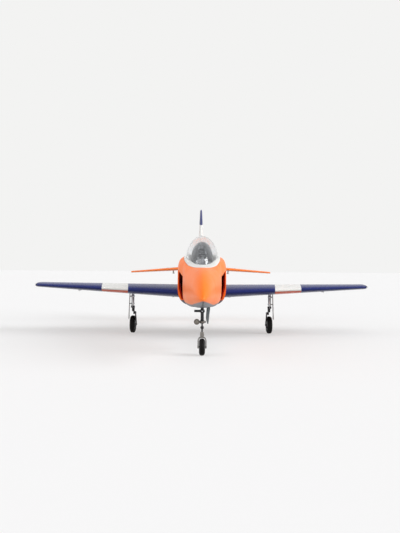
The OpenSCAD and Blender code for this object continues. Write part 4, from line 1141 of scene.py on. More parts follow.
def wing_screws():
    parts, top = [], wing_z(SCREW_X) + 4
    for y in SCREW_YS:
        low = wing_z(SCREW_X) - wing_half_t(SCREW_X, y)
        parts.append(rod("Z", (SCREW_X, y, (low + top) / 2), 3, top - low, 24))
        head = rod("Z", (SCREW_X, y, low - 0.85), 6, 1.5, 36)
        cut(head, rod("Z", (SCREW_X, y, low - 1.6), 2.6, 1.2, 6))
        bevel(head, 0.25)
        parts.append(head)
    piece = paint(join("screws", parts), STEEL)
    dress(both_sides(piece), "wing_screws")


def wing_spar():
    piece = rod("X", SPAR_AT, 8, 440, 64)
    bevel(piece, 0.4)
    smooth(piece)
    dress(piece, "wing_spar", CARBON)


# ---- Tail
DROOP = math.atan(18 / TAIL_HALF)
ELEVATOR_IN, ELEVATOR_OUT, TAIL_HINGE_Y = 46, 240, 466
ELEVATOR_L = (ELEVATOR_OUT - ELEVATOR_IN) / math.cos(DROOP)


def tail_z(x):
    return tail_at(x)[1]


def tail_half_t(x):
    le, _, chord, thick = tail_at(x)
    return thick / 2 * fullness((TAIL_HINGE_Y - le) / chord)


AT_ELEVATOR = (shift(ELEVATOR_IN, TAIL_HINGE_Y, tail_z(ELEVATOR_IN))
               @ Matrix.Rotation(DROOP, 4, "Y"))
# The tail servo, out along the drooping hinge line
TAIL_SERVO_OUT, TAIL_SERVO_Y = 52, 424
AT_TAIL_SERVO = shift(ELEVATOR_IN + TAIL_SERVO_OUT * math.cos(DROOP), TAIL_SERVO_Y,
                      tail_z(ELEVATOR_IN) - TAIL_SERVO_OUT * math.sin(DROOP))


def elevator_cone(share, grow, over):
    r0, r1 = [share * tail_half_t(x) + grow for x in (ELEVATOR_IN, ELEVATOR_OUT)]
    return rod("X", (ELEVATOR_L / 2, 0, 0), 2 * r0, ELEVATOR_L + 2 * over, 48, 2 * r1)


def stabiliser():
    piece = tail_form(0)
    room = box((-0.5, -1.5, -20), (ELEVATOR_L + 0.5, 60, 20))
    cut(room, elevator_cone(1, 0.5, 0.5), "UNION")
    cutters = [moved(room, AT_ELEVATOR), moved(horn_slot(ELEVATOR_LINK), AT_ELEVATOR),
               moved(servo_pocket(TAIL_SERVO, 12), AT_TAIL_SERVO)]
    for cutter in cutters:
        cuts(piece, mirrored(cutter, "twin"), cutter)
    cuts(piece, thrust_form(0.3), box((-46, 488, 0), (46, 700, 400)))
    finish_foam(piece, "stabiliser", FOAM_TAIL, 0.35, 48)


def elevator(side):
    room = box((0, 0, -20), (ELEVATOR_L, 60, 20))
    piece = behind_hinge(tail_form(0), room, elevator_cone(0.95, 0, 0), AT_ELEVATOR, 0.3)
    piece = join("elevator", [paint(piece, FOAM_TAIL), moved(horn(ELEVATOR_LINK), AT_ELEVATOR)])
    dress(on_side(piece, side), "elevator_" + side)


# The rudder's hinge line leans back from its foot
RUDDER_FOOT = (0, 474, 207.5)
RUDDER_BACK, RUDDER_RISE = 56, 193.5
LEAN = math.atan(RUDDER_BACK / RUDDER_RISE)
RUDDER_L = RUDDER_RISE / math.cos(LEAN)
AT_RUDDER = shift(*RUDDER_FOOT) @ Matrix.Rotation(-LEAN, 4, "X")


def fin_half_t(y, z):
    le, te, thick = fin_at(z)
    return thick / 2 * fullness((y - le) / (te - le))


def rudder_cone(share, grow, over):
    r0, r1 = share * fin_half_t(474, 207.5) + grow, share * fin_half_t(530, 395) + grow
    return rod("Z", (0, 0, RUDDER_L / 2), 2 * r0, RUDDER_L + 2 * over, 48, 2 * r1)


def fin():
    piece = fin_form()
    room = box((-20, -2, -2), (20, 80, RUDDER_L + 20))
    cut(room, rudder_cone(1, 0.5, 2), "UNION")
    cuts(piece, moved(room, AT_RUDDER), box((-20, 472, 0), (20, 700, RUDDER_FOOT[2])))
    finish_foam(piece, "fin", FOAM_FIN, 0.35, 48)


def rudder():
    room = box((-20, 0, 0), (20, 80, RUDDER_L + 20))
    piece = behind_hinge(fin_form(), room, rudder_cone(0.95, 0, 0), AT_RUDDER, 0.3)
    dress(paint(piece, FOAM_FIN), "rudder")


def tail_linkage():
    dress(both_sides(moved(link_rod(ELEVATOR_LINK), AT_ELEVATOR)), "elevator_rods")
    dress(both_sides(moved(servo_arm(ELEVATOR_LINK), AT_TAIL_SERVO)), "elevator_servo_arms")


# ---- Small parts shared by gear and fan
def tab(points, axis, low, high, width=0.5):
    """A flat part cut to an outline, with its edges rounded."""
    piece = prism(points, axis, low, high)
    bevel(piece, width, 2, 50)
    return piece


def stadium(a, b, count=14):
    """The outline around two circles, each given as two places and a radius."""
    turn = math.atan2(b[1] - a[1], b[0] - a[0])
    tilt = math.acos((a[2] - b[2]) / math.hypot(b[0] - a[0], b[1] - a[1]))
    points = []
    for (u, v, r), start, end in ((b, turn - tilt, turn + tilt),
                                  (a, turn + tilt, turn - tilt + 2 * math.pi)):
        points += [(u + r * math.cos(mixed(start, end, i / count)),
                    v + r * math.sin(mixed(start, end, i / count))) for i in range(count + 1)]
    return points


def turned(axis, centre, profile, material, steps=48):
    return paint(spun(axis, centre, profile, steps), material)


def block(low, high, width, material):
    """A painted block with rounded edges."""
    return paint(rounded_box(low, high, width), material)


def pin(axis, centre, d, l, vertices=24, material=STEEL):
    return paint(rod(axis, centre, d, l, vertices), material)


def socket_screw(axis, centre, d, h, side=1):
    """A cap screw whose hexagon socket faces along the axis, or against it."""
    head = rod(axis, centre, d, h, 28)
    step = Vector({"X": (1, 0, 0), "Y": (0, 1, 0), "Z": (0, 0, 1)}[axis]) * (side * h / 2)
    cut(head, rod(axis, Vector(centre) + step, d * 0.55, h, 6))
    bevel(head, 0.15, 1, 40)
    return paint(head, STEEL)


# ---- Main gear
STRUT_X, STRUT_Y, PIVOT_Z = 196.6, 38, 127
PIVOT = (STRUT_X, STRUT_Y, PIVOT_Z)
ARM_Z, KNUCKLE_Z, WHEEL_X = 60, 77, 198.6
# The axle's place along Y and Z
MAIN_AXLE = (60, 25)


def main_retracts():
    cheek = [(191.6, 125), (195, 121), (206.6, 121), (206.6, 134), (191.6, 134)]
    parts = [paint(tab(cheek, "Y", y, y + 3), BLACK_PLASTIC) for y in (27.4, 45.6)]
    body = rounded_box((206.6, 27.4, 120), (236.6, 48.6, 134), 1.2)
    parts.append(paint(cut(body, box((210, 31, 119), (233, 45, 120.8))), BLACK_PLASTIC))
    parts += [block((211, y - 0.7, 120.2), (232, y + 0.7, 121.2), 0.3, BLACK_PLASTIC)
              for y in (33, 36.4, 39.8, 43.2)]
    parts += [socket_screw("Z", (x, y, 119.9), 2.6, 1, -1)
              for x in (208.6, 234.6) for y in (29.4, 46.6)]
    parts.append(pin("Y", PIVOT, 3, 19))
    dress(both_sides(join("retracts", parts)), "main_retracts")


def forged_leg(x, y):
    """From the knuckle to the trailing arm's pin: rows of z, shift and half sizes."""
    rows = ((75, -2.4, -1, 3, 3), (72.5, -2.9, -1, 2.5, 2.9), (69, -3.3, -0.8, 1.7, 2.6),
            (65.5, -3.5, -0.5, 1.7, 2.8), (63, -3.6, -0.4, 2.2, 3.4), (57, -3.6, -0.4, 2.4, 3.4),
            (56, -3.6, -0.4, 1.8, 2.8))
    return skin("leg", [[(x + mx + hx * power_of(c, 0.5), y + my + hy * power_of(s, 0.5), z)
                         for c, s in circle(24)] for z, mx, my, hx, hy in rows])


def main_struts():
    x, y = STRUT_X, STRUT_Y
    barrel = rod("Y", PIVOT, 9, 15, 40)
    cut(barrel, rounded_box((x - 4, y - 7.5, 116), (x + 4, y + 7.5, PIVOT_Z), 0.8), "UNION")
    cut(barrel, rod("Y", PIVOT, 3.1, 30, 24))
    bevel(barrel, 0.4)
    tube = [(0, 77), (4, 77), (4, 81.6), (3.5, 82), (3.5, 83), (4, 83.4), (4, 111.5),
            (3.7, 112), (3.7, 112.8), (4, 113.2), (4, 118), (0, 118)]
    knuckle = [(0, 73.8), (4.2, 73.8), (5.6, 75), (5.75, 76), (5.75, 78.4), (5.2, 79.8),
               (4.1, 80.4), (0, 80.4)]
    # Damper rod with its ribbed boot
    boot = [(0, 63.6), (1.75, 63.6), (1.75, 65.6)]
    for z in (66, 67.8, 69.6, 71.4):
        boot += [(1.9, z), (2.7, z + 0.5), (2.7, z + 0.9), (1.9, z + 1.4)]
    boot += [(1.9, 74), (0, 74)]
    dress_pair([
        paint(barrel, SILVER), turned("Z", (x, y, 0), tube, SILVER),
        turned("Z", (x, y, 0), knuckle, DARK_METAL),
        socket_screw("Y", (x, y - 5.6, KNUCKLE_Z), 2.6, 1.6, -1),
        turned("Z", (x + 0.4, y, 0), boot, RUBBER, 28), paint(forged_leg(x, y), DARK_METAL),
        pin("X", (x - 7.6, y, ARM_Z), 3, 4.8), socket_screw("X", (x - 9.8, y, ARM_Z), 5, 0.8, -1),
    ], "main_strut")


def strut_covers():
    """The cover plates, which lean out towards the foot, and their clamps."""
    top_x, low_x, top_z, foot_z = 204.6, 207.4, 115, 42
    fall = (top_x - low_x) / (top_z - foot_z)
    outline = []
    for y, z, r, start in ((29, top_z, 2.5, math.pi), (47, top_z, 2.5, math.pi / 2),
                           (47, foot_z, 6, 0), (29, foot_z, 6, -math.pi / 2)):
        cy, cz = y + (r if y < 38 else -r), z + (r if z < 80 else -r)
        for i in range(7):
            a = start - math.pi / 2 * i / 6
            outline.append((cy + r * math.cos(a), cz + r * math.sin(a)))
    plate = prism(outline, "X", 0, 1.2)
    bevel(plate, 0.35, 2, 50)
    lean = Matrix.Identity(4)
    lean[0][2], lean[0][3] = fall, (low_x - fall * foot_z) * MM
    parts = [paint(moved(plate, lean), COVER_PLATE)]
    for z in (86, 107):
        clamp = [(4.02, z - 2), (5, z - 2), (5.2, z - 1.6), (5.2, z + 1.6), (5, z + 2),
                 (4.02, z + 2)]
        parts += [turned("Z", (STRUT_X, STRUT_Y, 0), clamp, SILVER),
                  block((STRUT_X + 4.6, 36, z - 1.4), (206, 40, z + 1.4), 0.5, COVER_PLATE),
                  socket_screw("X", (top_x - (top_z - z) * fall + 1.2, STRUT_Y, z), 3, 0.7)]
    dress_pair(parts, "strut_cover")


def trailing_arms():
    x0, x1 = STRUT_X - 9.2, STRUT_X - 6.2
    pivot, axle = (STRUT_Y, ARM_Z, 4), (*MAIN_AXLE, 4)
    arm = prism(stadium(pivot, axle), "X", x0, x1)
    cut(arm, prism(stadium((43.6, 51, 2.1), (54.4, 34, 2.1)), "X", x0 - 1, x1 + 1))
    cut(arm, rod("X", (x0, *pivot[:2]), 3.1, 12, 24))
    bevel(arm, 0.5, 2, 50)
    spacer = [(1.5, x1), (3.2, x1), (3.2, x1 + 0.8), (2.4, x1 + 1.4), (1.5, x1 + 1.4)]
    washer = [(1.4, 203.3), (2.7, 203.3), (2.7, 203.8), (1.4, 203.8)]
    dress_pair([
        paint(arm, DARK_METAL), pin("X", ((x0 + 205.5) / 2, *MAIN_AXLE), 3, 205.5 - x0, 28),
        turned("X", (0, *MAIN_AXLE), spacer, SILVER, 32),
        socket_screw("X", (x0 - 0.2, *MAIN_AXLE), 5, 0.8, -1),
        turned("X", (0, *MAIN_AXLE), washer, DARK_METAL, 24),
    ], "trailing_arm")


def wheel_hub(x, y, z, d, w, bore):
    """An alloy wheel: a rim on a drilled web, with a boss for the axle."""
    r, half = d / 2, w / 2
    boss, web, lip = bore + 2.4, 0.11 * w, r - 0.13 * d / 2
    profile = [(bore, -half), (boss, -half), (boss + 0.4, -web), (lip - 0.8, -web), (lip, -half),
               (r, -half), (r, half), (lip, half), (lip - 0.8, web), (boss + 0.4, web),
               (boss, half - 2), (bore, half - 2)]
    hub = spun("X", (x, y, z), profile, 64)
    middle = (boss + lip) / 2
    for c, s in circle(6):
        cut(hub, rod("X", (x, y + middle * c, z + middle * s), 0.62 * (lip - boss), w, 24))
    bevel(hub, 0.25, 2, 40)
    return paint(hub, SILVER)


def tyre(x, y, z, d, w, rim_d):
    """A round-shouldered tyre with three grooves and a bead on each wall."""
    r = w * 0.42
    mid, off = d / 2 - r, w / 2 - r
    wall = []
    for k in range(13):
        a = math.radians(-38 + 8.6 * k)
        bead = 0.3 if k in (3, 4) else 0
        wall.append((mid + (r + bead) * math.sin(a), -off - (r - (0.3 - bead)) * math.cos(a)))
    last = -wall[-1][1]
    crown = []
    for k in range(41):
        s = -last + 2 * last * k / 40
        over = max(abs(s) - off, 0)
        height = mid + math.sqrt(r * r - over * over)
        groove = min(abs(s - g) for g in (-0.3 * w, 0, 0.3 * w))
        crown.append((height - (0.6 if groove < 0.045 * w else 0), s))
    other = [(a, -b) for a, b in reversed(wall)]
    profile = [(rim_d / 2, -0.4 * w)] + wall + crown + other + [(rim_d / 2, 0.4 * w)]
    return paint(spun("X", (x, y, z), profile, 96), RUBBER, 30)


MAIN_TYRE_D, MAIN_TYRE_W, MAIN_HUB_D = 50, 15.8, 28
NOSE_TYRE_D, NOSE_TYRE_W, NOSE_HUB_D = 37, 13, 19


def main_wheels():
    place = (WHEEL_X, *MAIN_AXLE)
    dress_pair([wheel_hub(*place, MAIN_HUB_D, w=12.64, bore=1.55)], "main_hub")
    dress_pair([tyre(*place, MAIN_TYRE_D, MAIN_TYRE_W, MAIN_HUB_D)], "main_tyre")


# ---- Nose gear
LEG_Y, NOSE_PIVOT_Z, NOSE_AXLE_Z = -360, 121, 18.5
NOSE_WHEEL_AT = (0, LEG_Y, NOSE_AXLE_Z)


def nose_retract():
    parts = [block((-15, LEG_Y - 12, 136), (15, LEG_Y + 12, 144), 1, BLACK_PLASTIC)]
    cheek = stadium((LEG_Y, NOSE_PIVOT_Z, 5), (LEG_Y, 134, 5))
    parts += [paint(tab(cheek, "X", x0, x1), BLACK_PLASTIC) for x0, x1 in ((9.1, 13), (-13, -9.1))]
    parts += [socket_screw("Z", (x, LEG_Y + y, 135.8), 3, 1.2, -1)
              for x in (-12.3, 12.3) for y in (-9.3, 9.3)]
    dress_all(parts + [pin("X", (0, LEG_Y, NOSE_PIVOT_Z), 3, 24, 28)], "nose_retract")


def nose_trunnion():
    pivot = (0, LEG_Y, NOSE_PIVOT_Z)
    body = rounded_box((-9, LEG_Y - 5.5, 108), (9, LEG_Y + 5.5, NOSE_PIVOT_Z), 0.8)
    cut(body, rod("X", pivot, 11, 18, 40), "UNION")
    cuts(body, rod("X", pivot, 3.1, 30, 28), rod("Z", (0, LEG_Y, 112), 5.3, 12, 28),
         rounded_box((-6, LEG_Y - 7, 110.4), (6, LEG_Y - 4.7, 115.4), 0.6))
    bevel(body, 0.35)
    dress(paint(body, SILVER), "nose_trunnion")


def round_leg(profile, material, steps=48):
    """A turned part on the nose leg's line."""
    return turned("Z", (0, LEG_Y, 0), profile, material, steps)


def nose_leg():
    tube = [(2.06, 70), (4.7, 70), (5.2, 70.6), (5.2, 75.8), (4.6, 76.5), (3.6, 77),
            (3.6, 92.8), (3.6, 101), (3.3, 101.4), (3.3, 102.2), (3.6, 102.6), (3.6, 107.7),
            (2.6, 107.7), (2.6, 117.8), (0, 117.8), (0, 100), (2.06, 100)]
    collar = [(3.6, 93.6), (4.6, 93.6), (4.9, 94), (4.9, 100), (4.6, 100.4), (3.6, 100.4)]
    arm = prism(stadium((-15.1, LEG_Y, 2.5), (-5, LEG_Y, 2.5)), "Z", 94.5, 99.5)
    cut(arm, rod("Z", (-14.5, LEG_Y, 97), 2, 9, 24))
    bevel(arm, 0.5, 2, 50)
    dress_all([
        round_leg(tube, BLACK_METAL, 56), paint(arm, BLACK_METAL),
        block((2.6, LEG_Y - 2.5, 94.5), (5.4, LEG_Y + 2.5, 99.5), 0.5, BLACK_METAL),
        round_leg(collar, BLACK_METAL), socket_screw("Y", (0, LEG_Y - 4.9, 97), 2.6, 1.2, -1),
    ], "nose_leg")


def nose_lamp():
    """The landing lamp: shell, lens and arm, and the clamp around the leg."""
    x, z, front = -11.8, 74, LEG_Y - 9
    shell = [(0, 1.4), (5.2, 1.4), (5.2, 0), (6.1, 0), (6.3, 0.3), (6.3, 3), (5.7, 3.6),
             (5.7, 6.4), (4.4, 8), (0, 8)]
    lens = [(0, 0.15), (2, 0.25), (4, 0.55), (5.15, 0.9), (5.15, 1.5), (0, 1.5)]
    clamp = [(5.22, 71.2), (6.3, 71.2), (6.5, 71.6), (6.5, 74.8), (6.3, 75.2), (5.22, 75.2)]
    parts = [turned("Y", (x, 0, z), [(r, front + y) for r, y in profile], material)
             for profile, material in ((shell, LAMP_SHELL), (lens, LAMP_LENS))]
    dress_all(parts + [
        block((x + 4.6, LEG_Y - 2, z - 3), (-4.6, LEG_Y + 2, z + 1), 0.5, LAMP_SHELL),
        round_leg(clamp, LAMP_SHELL, 40),
        block((5.4, LEG_Y - 2.2, 71.4), (8.2, LEG_Y + 1.4, 75), 0.5, LAMP_SHELL),
        socket_screw("Y", (7, LEG_Y - 2.4, 73.2), 2, 1, -1),
    ], "nose_lamp")


def nose_fork():
    slide = [(0, 38.4), (2, 38.4), (2, 93), (0, 93)]
    seat = [(2, 57.6), (2.6, 57.8), (4, 59.8), (4, 62), (3, 63.6), (2, 64)]
    low = [(0, 38.4), (4.5, 38.4), (4.5, 41), (4.1, 41.3), (4.1, 42.1), (4.5, 42.4),
           (4.5, 47.6), (4.1, 47.9), (4.1, 48.7), (4.5, 49), (4.5, 50), (3.6, 51.2), (0, 51.2)]
    parts = [round_leg(slide, SLIDE_METAL, 32), round_leg(seat, DARK_METAL, 40),
             round_leg(low, DULL_METAL)]
    half = [(9.75, 14), (9.75, 32.5), (9.2, 35.4), (7.6, 38.2), (5.4, 40.2), (3, 41.2)]
    inner = [(3.2, 38.3), (5.3, 37.6), (6.7, 36), (7.2, 33.6), (7.2, 14)]
    outline = half + [(-x, z) for x, z in reversed(half)] \
        + [(-x, z) for x, z in reversed(inner)] + inner
    crown = prism(outline, "Y", LEG_Y - 5, LEG_Y + 5)
    cut(crown, prism(stadium((LEG_Y, NOSE_AXLE_Z, 3.5), (LEG_Y, 44, 5)), "X", -12, 12),
        "INTERSECT")
    bevel(crown, 0.4, 2, 40)
    parts += [paint(crown, DULL_METAL), pin("X", NOSE_WHEEL_AT, 2.5, 19.6)]
    dress_all(parts + [socket_screw("X", (side * 9.9, LEG_Y, NOSE_AXLE_Z), 4.6, 0.7, side)
                       for side in (-1, 1)], "nose_fork")


def nose_wheel():
    dress(wheel_hub(*NOSE_WHEEL_AT, NOSE_HUB_D, w=10.4, bore=1.3), "nose_hub")
    dress(tyre(*NOSE_WHEEL_AT, NOSE_TYRE_D, NOSE_TYRE_W, NOSE_HUB_D), "nose_tyre")


DOOR_L, DOOR_W = 111.5, 36.1
AT_DOOR = shift(15.5, -348, 103.9) @ Matrix.Rotation(math.radians(-3.95), 4, "X")
DOOR_OPEN = math.radians(-84)
LUGS = (14, DOOR_L - 20)


def nose_door():
    """The hanging door: a panel with a rim, end plates, ribs and its actuating horn."""
    panel = box((-DOOR_W, 0, -2), (0, DOOR_L, 0))
    cut(panel, box((-2, 0, -2), (0, DOOR_L, 4)), "UNION")
    end = [(0, -2), (0, 4), (11 - DOOR_W, 3), (-DOOR_W, 0), (-DOOR_W, -2)]
    for y in (0, DOOR_L - 2):
        cut(panel, prism(end, "Y", y, y + 2), "UNION")
    for y in (38, 56, 74):
        cut(panel, prism([(-1, -1), (-1, 2.4), (-DOOR_W + 6, 1.2), (-DOOR_W + 3, -1)], "Y",
                         y, y + 1.6), "UNION")
    for y in LUGS:
        cut(panel, box((-4, y - 0.3, -3), (1, y + 6.3, 5)))
    bevel(panel, 0.4, 2, 40)
    plate = [(-0.5, -2.3), (-9.5, -2.3), (-7.5, 5.2), (-2, 5.2), (-0.5, 3)]
    door = join("door", [paint(panel, DOOR_PAINT),
                         pin("Y", (0, DOOR_L / 2, 0), 1.4, DOOR_L, 20),
                         paint(tab(plate, "Y", 2.2, 4.6, 0.4), BLACK_PLASTIC)])
    dress(moved(door, AT_DOOR @ Matrix.Rotation(DOOR_OPEN, 4, "Y")), "nose_door")


def nose_bay():
    shell = hull_form(CORE, NOSE_JOINT, FRONT_END, pitch=5)
    cut(shell, box(*BAY), "INTERSECT")
    cut(shell, box((-21.5, -385, 0), (16.4, -235.5, 144)))
    for y in (-330, -300, -270):
        cut(shell, box((-22, y, 140.5), (17, y + 1.5, 145)), "UNION")
    bevel(shell, 0.3, 2, 40)
    parts = [paint(shell, GREY_PLASTIC)]
    for y in LUGS:
        lug = rod("Y", (0, y + 3, 0), 3, 6, 28)
        cut(lug, box((-0.6, y, 0), (1.8, y + 6, 8)), "UNION")
        cut(lug, rod("Y", (0, y + 3, 0), 1.5, 9, 20))
        bevel(lug, 0.25, 2, 40)
        parts.append(paint(moved(lug, AT_DOOR), BLACK_PLASTIC))
    dress_all(parts, "nose_bay")


# ---- Fan, duct and tube
def duct_form(grow):
    """One arm of the duct, from its oblong mouth to the round fan."""
    def oblong(x0, x1, z0, z1, power=0.22):
        hx, hz = (x1 - x0) / 2 + grow, (z1 - z0) / 2 + grow
        return [((x0 + x1) / 2 + hx * power_of(c, power), (z0 + z1) / 2 + hz * power_of(s, power))
                for c, s in circle(64)]
    over = 0 if grow else 0.5
    keys = [(-111.7 - over, oblong(42.3, 49.8, 130, 179)), (-30, oblong(16, 48, 138, 184.8)),
            (75 + over, oblong(-35, 35, FAN_Z - 35, FAN_Z + 35, 1))]
    rings = []
    for (y0, first), (y1, last) in zip(keys, keys[1:]):
        for k in range(12):
            f = k / 12
            rings.append([(mixed(a, c, f), mixed(y0, y1, f), mixed(b, d, f))
                          for (a, b), (c, d) in zip(first, last)])
    rings.append([(a, keys[-1][0], b) for a, b in keys[-1][1]])
    return skin("duct", rings)


def inlet_duct():
    piece = duct_form(1.2)
    cut(piece, other_side(duct_form(1.2)), "UNION")
    cuts(piece, duct_form(0), other_side(duct_form(0)))
    bevel(piece, 0.3, 2, 50)
    # The duct's deep red is painted shade over its orange paint
    dress(paint(piece, DUCT_SHADED_RED), "inlet_duct")


def around_fan(piece, degrees):
    centre = shift(0, 0, FAN_Z)
    return moved(piece, centre @ Matrix.Rotation(math.radians(degrees), 4, "Y")
                 @ centre.inverted())


def fan_housing():
    ring_form = [(35, 75), (38.6, 75), (38.8, 75.4), (38.8, 77.6), (36.6, 78.6), (36.3, 79.4),
                 (36.3, 101), (36.3, 132), (36, 135), (35, 135)]
    mount = [(3.5, 103), (14.6, 103), (15.5, 104), (15.5, 133), (14.02, 133), (14.02, 105),
             (3.5, 105)]
    parts = [turned("Y", (0, 0, FAN_Z), profile, BLACK_PLASTIC, steps)
             for profile, steps in ((ring_form, 96), (mount, 56))]
    section = airfoil(20, 1.7, 12)
    rows = [[(r, 118 + u - 10, FAN_Z + v * mixed(1, 0.8, f) + 3 * (u / 20) ** 2 * 0.4)
             for u, v in section] for f, r in ((0, 14.9), (0.5, 25), (1, 35.4))]
    parts += [paint(around_fan(skin("vane", rows), 18 + 72 * k), BLACK_PLASTIC)
              for k in range(5)]
    for side in (-1, 1):
        low, high = sorted((side * 35.8, side * 52.3))
        parts.append(block((low, 100, 154), (high, 106, 166), 0.8, BLACK_PLASTIC))
        parts += [socket_screw("Y", (side * 46, 99.8, z), 3.2, 1, -1) for z in (157, 163)]
    dress_all(parts, "fan_housing")


def fan_motor():
    can = [(0, 105), (13.6, 105), (13.95, 105.4), (13.95, 108), (13.5, 108.4), (13.5, 127.6),
           (13.95, 128), (13.95, 133.6), (12.6, 135), (6, 135), (5.2, 133.8), (0, 133.8)]
    piece = spun("Y", (0, 0, FAN_Z), can, 64)
    for c, s in circle(8):
        cut(piece, rod("Y", (9.4 * c, 135, FAN_Z + 9.4 * s), 3, 4, 16))
    bevel(piece, 0.2, 2, 40)
    dress_all([paint(piece, MOTOR), pin("Y", (0, 95.5, FAN_Z), 5, 19, 32)], "fan_motor")


def fan_rotor():
    nose = [(0, 68.1), (2.2, 68.5), (4.8, 70.2), (7.8, 73.4), (10.8, 77.4), (13.2, 81),
            (14.6, 84), (15, 87), (15, 100), (2.55, 100), (2.55, 86), (0, 86)]
    parts = [turned("Y", (0, 0, FAN_Z), nose, BLACK_PLASTIC, 64)]
    rings = []
    for k in range(9):
        f = k / 8
        r, chord, turn = mixed(13.6, 34.6, f), mixed(14.5, 15.5, f), math.radians(mixed(24, 50, f))
        rings.append([(r, 92 + (u - chord / 2) * math.cos(turn) - v * math.sin(turn),
                       FAN_Z + (u - chord / 2) * math.sin(turn) + v * math.cos(turn))
                      for u, v in airfoil(chord, mixed(1.7, 1.0, f), 12)])
    dress_all(parts + [paint(around_fan(skin("blade", rings), 30 * k), BLACK_PLASTIC)
                       for k in range(12)], "fan_rotor")


def thrust_tube():
    piece = thrust_form(0)
    cuts(piece, thrust_form(-1), box((-100, 100, 50), (100, 135, 300)),
         box((-100, 500, 50), (100, 600, 300)))
    for y in (200, 300, 400):
        # Rolled seams stand a little inside the tube's skin
        z = mixed(FAN_Z, OUTLET_Z, (y - TUBE_Y) / TUBE_RUN)
        band = rod("Y", (0, y, z), 200, 1.2, 16)
        cut(band, thrust_form(-0.15), "INTERSECT")
        cut(band, thrust_form(-1.6))
        cut(piece, band, "UNION")
    smooth(piece, 30)
    dress(piece, "thrust_tube", FILM)


# ---- Things inside the body
def battery():
    pack = rounded_box((-20, -330, 147.5), (20, -193, 181.5), 3, 4)
    for z in (156, 164.5, 173):
        for x in (-20, 20):
            cut(pack, box((x - 0.35, -326, z - 0.35), (x + 0.35, -197, z + 0.35)))
    parts = [paint(pack, BATTERY_WRAP),
             block((-12, -194, 152), (12, -190, 177), 1.2, BLACK_PLASTIC)]
    dress_all(parts + [block((-20.0, -262, z - 1.6), (20.0, -244, z + 1.6), 0.5, BLACK_PLASTIC)
                       for z in (151, 178)], "battery")


def battery_tray():
    plate = box((-27, -345, 145.5), (27, -170, 147.5))
    for y in (-325, -300, -215, -190):
        cut(plate, rod("Z", (0, y, 146), 15, 8, 32))
    for y in (-262, -242):
        for x in (-24, 24):
            cut(plate, rounded_box((x - 1.4, y - 7, 140), (x + 1.4, y + 7, 150), 0.6))
    leg = box((-12, -172, 105.6), (12, -170, 145.5))
    cut(leg, rod("Y", (0, -171, 128), 12, 6, 32))
    for part in (plate, leg):
        bevel(part, 0.3)
    dress_all([paint(plate, PLYWOOD), paint(leg, PLYWOOD)], "battery_tray")


def electronics():
    """The speed controller under its cooling fins, and the receiver with its pins."""
    parts = [block((-14, -166, 105.5), (14, -118, 116.5), 1.5, BLACK_PLASTIC),
             block((-12.5, -162, 116.3), (12.5, -122, 117.6), 0.3, DARK_METAL)]
    fins = [-160.5 + 4.4 * k for k in range(9)]
    dress_all(parts + [block((-12, y - 0.6, 117.4), (12, y + 0.6, 122), 0.3, DARK_METAL)
                       for y in fins], "speed_controller")
    parts = [block((-10, -222, 105.6), (10, -183, 119), 1.2, GREY_PLASTIC),
             block((-8.5, -184, 108), (8.5, -180, 117), 0.5, BLACK_PLASTIC)]
    dress_all(parts + [pin("Y", (x, -180.6, z), 0.8, 1.2, 10)
                       for x in range(-6, 7, 3) for z in (110, 112.5, 115)], "receiver")


def servo_body(low, high):
    """A servo's case in three layers along X, with the screws that hold them."""
    x0, x1 = low[0], high[0]
    parts = [block((mixed(x0, x1, a), *low[1:]), (mixed(x0, x1, b), *high[1:]), 0.7,
                   BLACK_PLASTIC) for a, b in ((0, 0.24), (0.25, 0.8), (0.81, 1))]
    return parts + [socket_screw("X", (x1 - 0.2, y, z), 1.8, 0.7)
                    for y in (low[1] + 1.6, high[1] - 1.6) for z in (low[2] + 1.6, high[2] - 1.6)]


# Corners of the two servos inside the body
RUDDER_SERVO = (-11, 262, 192.7), (11, 285, 204.7)
STEERING_SERVO = (-11, -415, 117.6), (11, -391, 139.6)


def servos():
    parts = []
    for at, size in ((servo_place(AILERON_LINK), WING_SERVO),
                     (servo_place(FLAP_LINK), WING_SERVO), (AT_TAIL_SERVO, TAIL_SERVO)):
        low, high = (2.3, 6 - size[1], -size[2] / 2), (2.3 + size[0], 6, size[2] / 2)
        boss = pin("X", (2.25, 0, 0), 4, 0.5, 28, ARM_PLASTIC)
        parts.append(moved(join("servo", servo_body(low, high) + [boss]), at))
    parts = [both_sides(join("servos", parts))]
    dress_all(parts + servo_body(*RUDDER_SERVO) + servo_body(*STEERING_SERVO), "servos")


# ---- Every piece, in order
for build in (nose_cone, fuselage_front, fuselage_centre, fuselage_rear, canopy_frame,
              canopy_glass, cockpit_tub, hatch_magnets):
    build()
for side in ("left", "right"):
    wing(side)
    surface("aileron", side, AILERON, AILERON_LINK)
    surface("flap", side, FLAP, FLAP_LINK)
    elevator(side)
for build in (lenses, linkages, wing_screws, wing_spar, stabiliser, fin, rudder, tail_linkage,
              main_retracts, main_struts, strut_covers, trailing_arms, main_wheels,
              nose_retract, nose_trunnion, nose_leg, nose_lamp, nose_fork, nose_wheel,
              nose_door, nose_bay, inlet_duct, fan_housing, fan_motor, fan_rotor, thrust_tube,
              battery, battery_tray, electronics, servos):
    build()
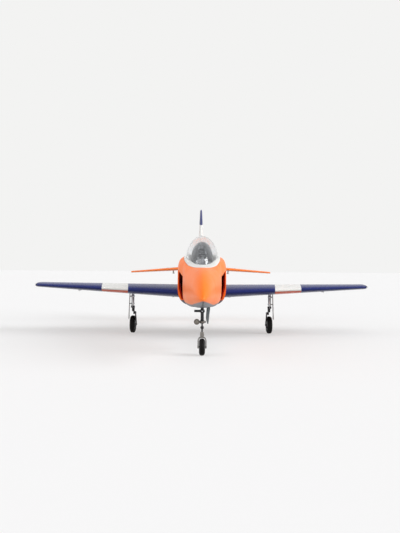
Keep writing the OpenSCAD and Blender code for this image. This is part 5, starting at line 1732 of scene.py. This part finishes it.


# ---- Studio
# The floor's glow is warm and its seen colour cool: fully lit they sum to a neutral white, and
# where the floor is shadowed the warm glow is painted bounce light from the orange body
FLOOR_BOUNCE, FLOOR_SEEN, FLOOR_GLOW = (0.5,) * 3, (0.82, 0.84, 0.86), (0.915, 0.883, 0.858)
GLOW_SHARE = 0.5
SKY_LIGHT, SKY_STRENGTH = (0.97, 0.98, 1.0), 0.45
BACKDROP = srgb(243, 243, 242)


def camera_share(t):
    """1 where the camera sees a point directly, in a mirror or through glass."""
    rays = t.node("ShaderNodeLightPath").outputs
    seen = t.math("MAXIMUM", rays["Is Camera Ray"], rays["Is Transmission Ray"])
    return t.math("MAXIMUM", seen, rays["Is Glossy Ray"])


def pale_floor():
    """A floor that keeps a faint shadow."""
    bpy.ops.mesh.primitive_plane_add(size=40, location=(0, 0, 0))
    floor = active()
    floor.name = "floor"
    r = Recipe("floor_pale")
    seen = camera_share(r)
    colour = r.mix(seen, FLOOR_BOUNCE, FLOOR_SEEN)
    r.set(Base_Color=r.shade(colour, r.span(r.noise(3, 2), 0.995, 1.005)),
          Roughness=0.7, Specular_IOR_Level=0.1)
    glow = r.node("ShaderNodeEmission", {"Color": FLOOR_GLOW})
    r.blend(r.times(seen, GLOW_SHARE), r.shader, glow, "Material Output")
    floor.data.materials.append(r.material)


def backdrop():
    """An even pale backdrop for the camera, and a weaker sky for the light."""
    world = bpy.data.worlds.new("studio")
    bpy.context.scene.world = world
    world.use_nodes = True
    t = Tree(world.node_tree)
    sky, seen = t.tree.nodes["Background"], t.node("ShaderNodeBackground")
    for source, colour, strength in ((sky, SKY_LIGHT, SKY_STRENGTH), (seen, BACKDROP, 1.0)):
        t.put(colour, source.inputs["Color"])
        t.put(strength, source.inputs["Strength"])
    t.blend(camera_share(t), sky, seen, "World Output")


def lamp(name, toward, strength, width):
    """A distant soft light from a direction; width is in degrees."""
    data = bpy.data.lights.new(name, "SUN")
    data.energy = strength
    data.angle = math.radians(width)
    piece = bpy.data.objects.new(name, data)
    piece.rotation_euler = Vector(toward).to_track_quat("Z", "Y").to_euler()
    bpy.context.scene.collection.objects.link(piece)


pale_floor()
backdrop()
lamp("key_lamp", (1.0, -0.2, 0.5), 2.8, 35)
lamp("fill_lamp", (-1.0, -0.35, 0.35), 1.5, 60)
lamp("top_lamp", (0.05, -0.7, 1.0), 0.7, 55)
bpy.context.scene.view_settings.view_transform = "Standard"
